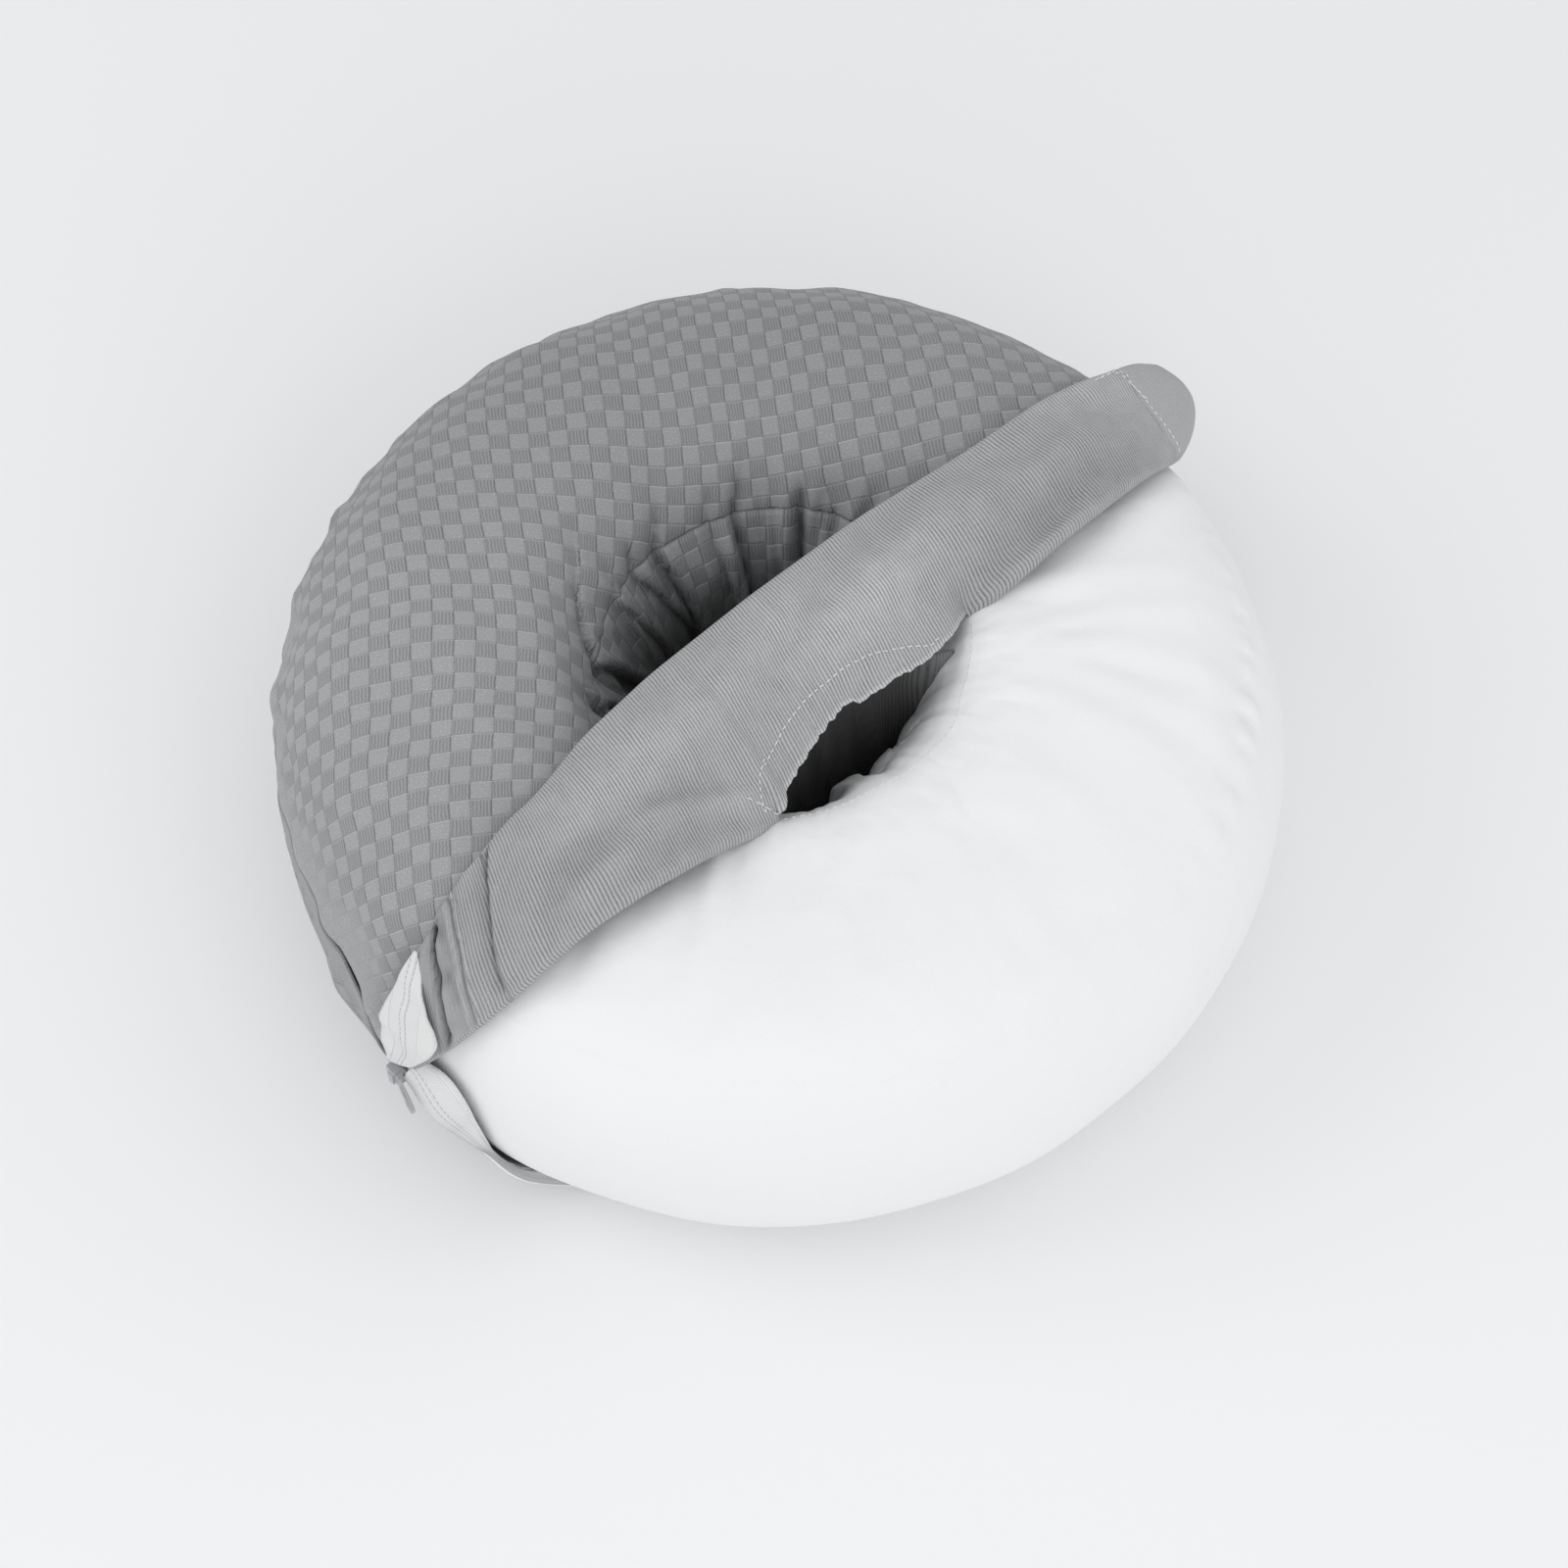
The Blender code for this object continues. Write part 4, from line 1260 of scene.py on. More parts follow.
    def finish_skin(self, thing: bpy.types.Object) -> None:
        """Presses the seams, gathers and ridges into the swollen skin, and flattens its underside.

        Args:
            thing: The ring.
        """
        data = thing.data
        points = vertex_places(thing)
        normals = np.array([vertex.normal for vertex in data.vertices])
        turn = np.arctan2(points[:, 1], points[:, 0])
        angle = self.ring.angle_of(points)
        lift = self.seam_lift(turn, angle) + self.ridge_lift(turn, angle) + 0.0003 * ripples(points, 0.05, 5)
        inside = self.seams.inside_crease(points)
        # sunk under the cover, and a little raised beside its crease
        covered = ease(inside, *self.sink_run)
        beside = self.crease_rise * bump(inside, -0.007, 0.009) * bump(angle, math.radians(75), math.radians(50))
        into_hole = wrapped(angle - self.hole_edge)
        fill = from_table(np.degrees(turn), self.rim_fill, spread=4.0)
        fill = fill * bump(into_hole, 0.0, np.where(into_hole < 0, *self.fill_widths))
        # a fuller flank, most of all at the right
        flank = bump(angle, self.flank_middle, self.flank_width)
        right = bump(wrapped(turn - math.radians(-12)), 0.0, math.radians(30))
        left = bump(wrapped(turn - math.radians(-122)), 0.0, math.radians(10))
        all_round, at_right, at_left = self.flank_lifts
        fuller = flank * (all_round + at_right * right + at_left * left) + fill + beside
        lift = lift + (1 - covered) * fuller - self.sink * covered
        points = points + normals * lift[:, None]
        points[:, 2] = np.maximum(points[:, 2], self.ring.base)
        data.vertices.foreach_set("co", points.ravel())
        data.update()


@dataclass
class TopPanel:
    """The check panel in one sheet: flat on the far half, and turned back over the diagonal, ribbed side up."""

    seams: SeamLines
    thickness: float = 0.0009
    turn_steps: int = 190
    ring_steps: int = 112
    bridge_steps: int = 110
    top_steps: int = 30
    layer_two: float = 0.0022
    layer_three: float = 0.0042
    layer_top: float = 0.0064
    layer_single: float = 0.0027
    puff: float = 0.34
    single_left: float = -0.1465
    single_right: float = 0.1385
    layer_ramp: float = 0.026
    loop: float = 0.0024
    bridge_rise: float = 0.009
    end_bow: float = 0.0095
    bow_lean: float = 0.68
    loop_turn: float = math.pi * 0.84
    corner_ease: float = 0.8
    deepest: float = -0.0042
    rim_dip: float = 0.0003
    slack_height: float = 0.00055
    fold_shade: float = 42.0
    pleat_shade: float = 90.0
    raw_edge_highlight: float = -0.55
    high_edge: Table = (
        # low edge's place along, then the high edge's place along, across, and its level
        (-0.161, -0.150, 0.0075, 0.110), (-0.158, -0.143, 0.0090, 0.118), (-0.154, -0.136, 0.0058, 0.123),
        (-0.150, -0.131, 0.0042, 0.126), (-0.136, -0.118, 0.0045, 0.129), (-0.115, -0.100, 0.0033, 0.130),
        (-0.079, -0.072, -0.0045, 0.129), (-0.044, -0.042, -0.0090, 0.127), (0.000, 0.000, -0.0112, 0.126),
        (0.046, 0.044, -0.0104, 0.127), (0.095, 0.098, -0.0047, 0.129), (0.128, 0.137, -0.0040, 0.127),
        (0.145, 0.155, -0.0040, 0.121), (0.157, 0.163, -0.0010, 0.114),
    )
    raw_edge: Table = (
        # places along and across of the raw edge over the hole
        (-0.0395, 0.0455), (-0.0378, 0.0462), (-0.0362, 0.0450), (-0.0345, 0.0422), (-0.0300, 0.0406),
        (-0.0284, 0.0406), (-0.0280, 0.0397), (-0.0228, 0.0388), (-0.0222, 0.0382), (-0.0185, 0.0371),
        (-0.0119, 0.0355), (-0.0038, 0.0336), (0.0006, 0.0340), (0.0012, 0.0360), (0.0060, 0.0364),
        (0.0112, 0.0366), (0.0187, 0.0366), (0.0200, 0.0376), (0.0281, 0.0380), (0.0336, 0.0368),
        (0.0407, 0.0350), (0.0460, 0.0325), (0.0524, 0.0293),
    )
    lean_places: tuple[float, ...] = (-0.150, -0.120, -0.090, -0.065, 0.000, 0.035, 0.060, 0.090, 0.140)
    leans: tuple[float, ...] = (9.0, 7.0, 3.0, -5.0, -10.0, -9.0, -5.0, 0.0, 1.0)
    soft_folds: tuple[Crease, ...] = (
        Crease((-0.108, 0.0285), (-0.055, 0.0285), 0.0050, -0.0032, -0.004),
        Crease((-0.105, 0.0370), (-0.050, 0.0365), 0.0036, 0.0014, -0.002),
        Crease((-0.045, 0.0400), (-0.085, 0.0240), 0.0036, 0.0016, 0.0),
        Crease((-0.100, 0.0180), (-0.045, 0.0060), 0.0090, 0.0020, 0.0),
        Crease((-0.060, 0.0140), (0.010, 0.0000), 0.0080, 0.0018, 0.0),
        Crease((0.015, 0.0140), (0.085, 0.0080), 0.0090, 0.0030, 0.0),
        Crease((0.020, -0.0010), (0.060, -0.0060), 0.0060, -0.0020, 0.0),
        Crease((0.050, 0.0260), (0.105, 0.0260), 0.0050, -0.0024, 0.002),
        Crease((0.085, 0.0140), (0.125, 0.0180), 0.0060, 0.0020, 0.0),
        Crease((-0.010, 0.0100), (0.020, 0.0030), 0.0045, -0.0018, 0.0),
    )
    facing: Table = (
        (0.1478, 0.0034), (0.1472, 0.0103), (0.1461, 0.0167), (0.1446, 0.0262), (0.1434, 0.0309),
        (0.1414, 0.0347), (0.1392, 0.0369),
    )
    lapped_fold: Table = (
        (-0.1158, 0.0020), (-0.1163, 0.0034), (-0.1255, 0.0145), (-0.1313, 0.0235), (-0.1366, 0.0320),
        (-0.1392, 0.0380),
    )
    seam_strip: Table = (
        (-0.1340, 0.0030), (-0.1369, 0.0100), (-0.1398, 0.0150), (-0.1428, 0.0215), (-0.1460, 0.0275),
        (-0.1490, 0.0335), (-0.1508, 0.0385),
    )
    deep_fold: Table = (
        (-0.1425, 0.0070), (-0.1441, 0.0095), (-0.1471, 0.0123), (-0.1492, 0.0158), (-0.1517, 0.0205),
        (-0.1540, 0.0240), (-0.1560, 0.0269), (-0.1568, 0.0311), (-0.1576, 0.0337),
    )
    pleats: tuple[PleatLine, ...] = (
        PleatLine(132, 0.0040, 2.6, 0.011, -10, 1, -12),
        PleatLine(105, 0.0042, 2.6, 0.014, -6, -1, -7),
        PleatLine(84.5, 0.0044, 3.0, 0.007, -2, -1, -6),
        PleatLine(179, 0.0040, 2.8, 0.022, -24, 1, -30),
        PleatLine(143, 0.0028, 2.4, 0.010, -8, 1, -26),
        PleatLine(194, 0.0034, 2.8, 0.009, -10, 1, -38),
        PleatLine(113, 0.0018, 2.4, 0.009, -6, 1, -10),
        PleatLine(155, 0.0020, 2.6, 0.010, -12, 1, -20),
        PleatLine(96, 0.0014, 2.2, 0.008, 0, 1, -4),
        PleatLine(73, 0.0018, 2.4, 0.008, 3, -1, 0),
        PleatLine(206, 0.0024, 2.8, 0.008, -10, 1, -20),
    )

    def high_points(self, low_along: Array) -> Array:
        """Points of the fold's high edge that belong to places along the low crease.

        Args:
            low_along: Places along the low crease.

        Returns:
            A point for each.
        """
        rows = np.array(self.high_edge)
        place, across, level = (self.eased_column(low_along, rows[:, 0], rows[:, column]) for column in (1, 2, 3))
        return self.seams.place(place, across, level)

    @staticmethod
    def eased_column(value: Array, places: Array, values: Array) -> Array:
        """A table's column between its rows, a little rounded at each row.

        Args:
            value: Where the column is wanted.
            places: The first column.
            values: The wanted column.

        Returns:
            The value at each place.
        """
        spread = np.array((-0.006, -0.003, 0.0, 0.003, 0.006))
        near = np.clip(value[..., None] + spread, places[0], places[-1])
        exact = np.interp(value, places, values)
        rounded = np.interp(near, places, values).mean(axis=-1)
        edge = np.minimum(value - places[0], places[-1] - value)
        return mix(exact, rounded, ease(edge, 0.0, 0.01))

    def layer_height(self, along: Array) -> Array:
        """How high the turned-back cloth lies: over its tucked layers, or alone at the ends."""
        inside = np.minimum(along - self.single_left, self.single_right - along)
        return mix(self.layer_single, self.layer_top, ease(inside, 0.0, self.layer_ramp))

    def raw_across(self, along: Array) -> Array:
        """How far across the raw edge lies at places along it."""
        return from_table(along, self.raw_edge)

    def bridge_low(self, share: Array) -> Array:
        """Points of the raw edge over the hole, from its left to its right corner.

        Args:
            share: 0 at the left corner and 1 at the right one.

        Returns:
            The points.
        """
        left = self.seams.panel_points(np.array(1.0), np.array(0.0))
        right = self.seams.panel_points(np.array(0.0), np.array(0.0))
        along = mix(left @ self.seams.along, right @ self.seams.along, share)
        level = mix(left[2], right[2], share) + self.bridge_rise * (4 * share * (1 - share)) ** 0.8
        return self.seams.place(along, self.raw_across(along), level)

    def support(self, low: Array, share: Array, spread: float = 0.0) -> Array:
        """Points under the turned-back cloth, for low points (n) and shares (m) of the way to the high edge.

        Args:
            low: The low points.
            share: The shares, as one row or a row for each low point.
            spread: What is added to the shares.

        Returns:
            A grid of n by m points.
        """
        along = low @ self.seams.along
        high = self.high_points(along)[:, None, :]
        low = low[:, None, :]
        share = np.clip(np.broadcast_to(share + spread, (len(along), share.shape[-1])), 0.0, 1.0)[..., None]
        bow = self.end_bow * ease(along, self.single_right, self.high_edge[-1][0])
        weight = np.exp(-(((along[:, None] - along[None, :]) / 0.014) ** 2)) * np.abs(np.gradient(along))[None, :]
        smooth = (weight @ low[:, 0, 2]) / np.maximum(weight.sum(axis=1), 1e-9)
        corner = np.minimum(bump(along, -0.040, 0.030) + bump(along, 0.052, 0.030), 1.0)
        even = (corner * np.maximum(smooth - low[:, 0, 2], 0.0))[:, None] * ease(share[..., 0], 0.0, 0.22)
        place = mix(low, high, share) + self.seams.along * bow[:, None, None] * np.sin(math.pi * share**self.bow_lean)
        level = mix(low[..., 2] + even, high[..., 2], 1 - (1 - share[..., 0]) ** 2)
        place = np.concatenate([place[..., :2], level[..., None]], axis=-1)
        return self.seams.ring.pushed_out(place, self.seams.cover_lift)

    def layers(self, low: Array, share: Array, height: Array, out: Array) -> Array:
        """Points over the support: raised by height, and standing out by out along the way of rising share.

        Args:
            low: The low points.
            share: Shares of the way to the high edge.
            height: How far the points are raised.
            out: How far they stand out.

        Returns:
            A grid of points.
        """
        place = self.support(low, share)
        away = unit(self.support(low, share, 0.04) - self.support(low, share, -0.04))
        return place + self.seams.ring.stack_direction(place) * height[..., None] + away * out[..., None]

    def band_points(self, low: Array, open_start: Array) -> Array:
        """The turned-back cloth over points of the low crease.

        Args:
            low: The points, one for each column.
            open_start: True for the columns that start at the raw edge over the hole.

        Returns:
            A grid of points, NaN where there is no cloth.
        """
        along = low @ self.seams.along
        top = self.layer_height(along)[:, None]
        corner = bump(along, along[open_start].max(), 0.009) + bump(along, along[open_start].min(), 0.007)
        loop = self.loop * top / self.layer_top * (1 - self.corner_ease * np.minimum(corner, 1.0))[:, None]
        rise = np.linspace(0, self.loop_turn, 8)[None, :]
        low_loop = self.layers(low, np.zeros((1, 8)), top * (1 - np.cos(rise)) / 2, -loop * np.sin(rise))
        low_loop[:, 0] = low
        low_loop[open_start] = np.nan
        share = np.linspace(0.012, 1.0, self.top_steps)[None, :]
        puffed = top * (1 + self.puff * np.sin(math.pi * share)) - top * 0.07 * (1 - np.sin(math.pi * share))
        upper = self.layers(low, share, puffed, np.zeros_like(puffed))
        fall = np.linspace(0.15, 1, 8)[None, :] * math.pi
        middle, half = (top * 0.93 + self.layer_two) / 2, (top * 0.93 - self.layer_two) / 2
        open_loop = self.loop * (top - self.layer_single) / (self.layer_top - self.layer_single)
        high_loop = self.layers(low, np.ones((1, 8)), middle + half * np.cos(fall), open_loop * np.sin(fall))
        tucked = self.tucked_points(low, along, top)
        hidden = np.concatenate([high_loop, tucked], axis=1)
        hidden[(along < self.single_left) | (along > self.single_right)] = np.nan
        return np.concatenate([low_loop, upper, hidden], axis=1)

    def tucked_points(self, low: Array, along: Array, top: Array) -> Array:
        """The layers tucked under the turned-back cloth: back over the flat cloth, and under once more.

        Args:
            low: Points of the low crease.
            along: Their places along the fold.
            top: The height of the cloth over the layers.

        Returns:
            A grid of points.
        """
        tuck = (0.22 + 0.20 * bump(along, 0.0, 0.055))[:, None]
        third = np.minimum(self.layer_three, top - self.layer_two + 0.0004)
        back = mix(0.97, tuck, np.linspace(0, 1, 8)[None, :])
        second = self.layers(low, back, np.full_like(back, self.layer_two), np.zeros_like(back))
        swing = np.linspace(0.2, 0.8, 3)[None, :] * math.pi
        middle, half = (self.layer_two + third) / 2, (third - self.layer_two) / 2
        turn = self.layers(low, np.repeat(tuck, 3, axis=1), middle - half * np.cos(swing), -0.0011 * np.sin(swing))
        forth = mix(tuck, 0.80, np.linspace(0, 1, 8)[None, :])
        last = self.layers(low, forth, np.repeat(third, 8, axis=1), np.zeros_like(forth))
        return np.concatenate([second, turn, last], axis=1)

    def band_detail(self, points: Array) -> tuple[Array, Array, Array]:
        """The creases and soft unevenness of the turned-back cloth.

        Args:
            points: The cloth's points.

        Returns:
            Height, painted shade and how plain the cloth is at each point.
        """
        along, across = points @ self.seams.along, points @ self.seams.across
        plan = np.stack([along, across], axis=-1)
        folds = sum(crease.shape(along, across) for crease in self.soft_folds)
        height = folds + 0.00060 * ripples(plan, 0.034, 11) + 0.00020 * ripples(plan, 0.012, 12)
        # the layer that laps over at the left, with painted shade along its foot
        lapped, run = line_distance(plan, self.lapped_fold)
        there = ease(run, -0.05, 0.04) * (1 - ease(run, 0.96, 1.04))
        step = np.where(lapped > 0, np.exp(-lapped / 0.0090), 0.0)
        height = height + there * (0.0022 * step - 0.0012 * bump(lapped, -0.0004, 0.0009))
        shade = there * (0.50 * bump(lapped, -0.0003, 0.0006) + 0.12 * bump(lapped, -0.0022, 0.0020))
        # the narrow corded strip of the seam beside it, with painted shade in its middle, beside it and in fine
        # stripes, and painted highlights on its raised edges
        strip, run = line_distance(plan, self.seam_strip)
        there = ease(run, -0.06, 0.02) * (1 - ease(run, 1.02, 1.12))
        edges = bump(strip, 0.0014, 0.0004) + bump(strip, -0.0010, 0.0007)
        height = height + there * (0.0008 * edges - 0.0005 * bump(strip, 0.0004, 0.0006))
        lines = 0.5 + 0.5 * np.sin(strip * 2 * math.pi / 0.0006)
        shade = shade + there * (
            0.34 * bump(strip, 0.0005, 0.0006) - 0.18 * edges + 0.16 * bump(strip, -0.0020, 0.0004)
        )
        shade = shade + there * 0.14 * lines * bump(strip, -0.0010, 0.0007)
        # the deep fold by the slider, and the gathered cloth between it and the strip, with painted shade in the fold
        # and in the gathers' hollows
        deep, run = line_distance(plan, self.deep_fold)
        there = ease(run, -0.05, 0.05) * (1 - ease(run, 0.98, 1.05))
        gathered = ease(deep, -0.0006, 0.0004) * (1 - ease(strip, -0.0030, -0.0018))
        roll = np.where(deep < 0, np.exp(deep / 0.0022), 0.0)
        height = height + there * (0.0012 * roll - 0.0024 * bump(deep, 0.0006, 0.0010))
        shade = shade + there * 0.62 * bump(deep, 0.0004, 0.0006)
        shaded_hollows = bump(np.hypot((along + 0.1425) / 1.2, (across - 0.0125) / 2.0), 0.0, 0.0016)
        shaded_hollows = shaded_hollows + 0.7 * bump(np.hypot(along + 0.1478, (across - 0.0215) / 2.0), 0.0, 0.0016)
        height = height + gathered * (0.0008 * ripples(plan, 0.007, 13) - 0.0016 * shaded_hollows)
        shade = shade + gathered * (0.38 * shaded_hollows + 0.05 * ripples(plan, 0.006, 14))
        plain = np.maximum(1 - ease(strip, -0.0018, -0.0008), bump(strip, 0.0, 0.0014)) * ease(-along, 0.120, 0.130)
        # the plain facing past the stitches at the right end
        seamed, _ = line_distance(plan, self.facing)
        beyond = ease(seamed, 0.0, 0.0008) * ease(along, 0.125, 0.132)
        height = height - 0.0007 * bump(seamed, 0.0, 0.0008) * ease(along, 0.125, 0.132)
        # broad painted shade and painted light: darker in the folds' hollows, lighter on their crests and on the
        # facing, and in patches lighter or darker
        shade = shade + 0.035 * ripples(plan, 0.075, 15) - 0.05 * beyond - self.fold_shade * folds
        shade = shade - 0.13 * bump(along, -0.005, 0.050) * bump(across, 0.018, 0.022)
        shade = shade - 0.10 * bump(along, 0.140, 0.014)
        shade = shade + 0.17 * bump(np.hypot((along + 0.074) / 2.4, across - 0.0375), 0.0, 0.0075)
        shade = shade + 0.10 * bump(np.hypot((along - 0.074) / 2.0, across - 0.011), 0.0, 0.014)
        return height, shade, np.maximum(plain, beyond)

    def rim_pleats(self, turn: Array, distance: Array) -> tuple[Array, Array]:
        """The gathers at the hole's rim, at a turn and a distance from the rim seam.

        Args:
            turn: Turns.
            distance: Distances from the seam.

        Returns:
            The height, and the painted shade in the folds.
        """
        height, shade = np.zeros_like(turn), np.zeros_like(turn)
        for pleat in self.pleats:
            middle = math.radians(pleat.turn) + math.radians(pleat.lean) * distance / 0.02
            profile = pleat.profile(turn, middle) * bump(distance, 0.0, pleat.run)
            height = height - pleat.depth * profile
            shade = shade + self.pleat_shade * pleat.depth * profile**3
        ring = at(turn, 0.058, 0.0)[..., :2]
        fine = ripples(ring, 0.0085, 31) * bump(distance, 0.0, 0.012)
        fine = fine + 0.6 * ripples(ring, 0.005, 32) * bump(distance, 0.0, 0.006)
        return height + 0.0006 * fine, np.clip(shade, 0.0, 0.7)

    def flat_patch(self, share: Array, ring_share: Array) -> Patch:
        """The part of the panel that lies on the far half of the ring, check side up.

        Args:
            share: The columns, as shares from the right crease to the left one.
            ring_share: The rows, as shares from the hole's rim to the zip.

        Returns:
            The patch.
        """
        turn, angle = self.seams.panel_place(share[:, None], ring_share[None, :])
        turn, angle = np.broadcast_arrays(turn, angle)
        ring = self.seams.ring
        plain = ring.skin(turn, angle, self.seams.cover_lift)
        distance = arc_lengths(plain, 1)
        inside = (ease(share, 0.0, 0.05) * (1 - ease(share, 0.95, 1.0)))[:, None]
        lift, shade = self.rim_pleats(turn, distance)
        lift = lift - self.rim_dip * bump(distance, 0.0, 0.0018)
        # slack cloth, drawn in beside the rim and the zip
        to_zip = distance[:, -1:] - distance
        slack = self.slack_height * ripples(plain, 0.030, 41)
        slack = slack + 0.0006 * ripples(plain, 0.016, 42) * bump(to_zip, 0.0, 0.024)
        slack = slack * (1 - bump(distance, 0.0, 0.006))
        lift = lift + slack * (1 - bump(to_zip, 0.0, 0.006)) + 0.0008 * bump(to_zip, 0.0065, 0.0035)
        lift = lift + self.seams.zip_wave(turn) * bump(to_zip, 0.0, 0.018)
        lift = np.maximum(lift * inside, self.deepest)
        points = ring.skin(turn, angle, self.seams.cover_lift + lift)
        # painted shade: darker towards the far side, in the rim's gathers, beside the hole's rim and on its seam;
        # painted light towards the left
        shade = shade + 0.11 * ease(plain[..., 1], 0.0, 0.11)
        lit = 0.10 * ease(-plain[..., 0], 0.04, 0.12) * ease(-plain[..., 1], -0.09, 0.0)
        painted_rim_shade = 0.16 * bump(distance, 0.0, 0.012) * ease(turn, math.radians(60), math.radians(150))
        shade = np.clip((shade + painted_rim_shade + 0.05 * bump(distance, 0.0, 0.0009)) * inside - lit, -0.2, 0.8)
        # the weave runs round the hole, a little askew, and fades out beside the zip
        radius = 0.060 + distance
        lean = mix(math.radians(8), math.radians(4), ease(turn, math.radians(85), math.radians(185)))
        narrow = 1.0 + 0.16 * bump(turn, math.radians(100), math.radians(30))
        pattern = at(turn - lean, radius, 0.0)[..., :2] * np.stack([narrow, np.ones_like(narrow)], axis=-1)
        crook = 0.003 * ripples(plain[..., :2], 0.020, 43)
        wide = 1 + 1.6 * ease(turn, math.radians(185), math.radians(212))
        faded = 1 - ease((to_zip + crook) / wide, 0.003, 0.012)
        return Patch(points, pattern, shade, faded)

    def band_patch(self, flat: Patch) -> Patch:
        """The turned-back part, which starts at the flat part's two creases and at the raw edge between them.

        Args:
            flat: The flat part.

        Returns:
            The patch.
        """
        step = np.linspace(0, 1, self.bridge_steps + 2)[1:-1]
        raw = self.bridge_low(step)
        ragged = 0.00022 * ripples(raw[:, :2], 0.0035, 51) * np.sin(math.pi * step) ** 0.5
        raw = raw + ragged[:, None] * self.seams.across
        low = np.concatenate([flat.points[-1, ::-1], raw, flat.points[0]])
        open_start = np.zeros(len(low), bool)
        open_start[flat.points.shape[1]:-flat.points.shape[1]] = True
        points = self.band_points(low, open_start)
        ring = self.seams.ring
        rows = np.arange(points.shape[1])
        upper = (rows > 7) & (rows < 8 + self.top_steps)
        fade = np.where(upper, 1.0, 0.0) * ease(rows, 7, 10) * (1 - ease(rows, 5 + self.top_steps, 8 + self.top_steps))
        height, shade, plain = self.band_detail(np.nan_to_num(points))
        points = points + ring.stack_direction(points) * (height * fade[None, :])[..., None]
        # painted highlight along the raw edge over the hole
        edge = np.where(open_start[:, None] & (rows == 8)[None, :], self.raw_edge_highlight, 0.0)
        shade = np.clip(shade, -0.4, 0.8) * ease(rows, 5, 8) * upper + edge
        return Patch(points, self.rib_pattern(points, low @ self.seams.along), shade, plain * upper)

    def rib_pattern(self, points: Array, along: Array) -> Array:
        """Pattern coordinates of the ribbed reverse, which fans out a little along the fold.

        Args:
            points: The cloth's points.
            along: The columns' places along the fold.

        Returns:
            Two coordinates for each point.
        """
        middle = 8 + self.top_steps // 2
        run = arc_lengths(points[:, middle: middle + 1], 0)
        filled = np.where(np.isnan(points), points[:, middle][:, None, :], points)
        width = arc_lengths(filled, 1)
        width = width - width[:, middle: middle + 1]
        lean = np.radians(np.interp(along, self.lean_places, self.leans))
        return np.stack([run + np.tan(lean)[:, None] * width, width], axis=-1)

    def build(self) -> bpy.types.Object:
        """Makes the panel.

        Returns:
            The finished piece.
        """
        share = np.linspace(0, 1, self.turn_steps + 1)
        plain = np.linspace(0, 1, 401)
        density = 1 + 1.2 * bump(plain, 0.72, 0.20) + 1.0 * bump(plain, 0.0, 0.06)
        flat = self.flat_patch(share, crowded(plain, density, self.ring_steps))
        patches = [flat, self.band_patch(flat)]
        thing = sheet_object("top_panel", patches, self.thickness, CheckWeave(), RibbedReverse())
        dress(thing, Slot.CLOTH, "cover_top_panel")
        return thing


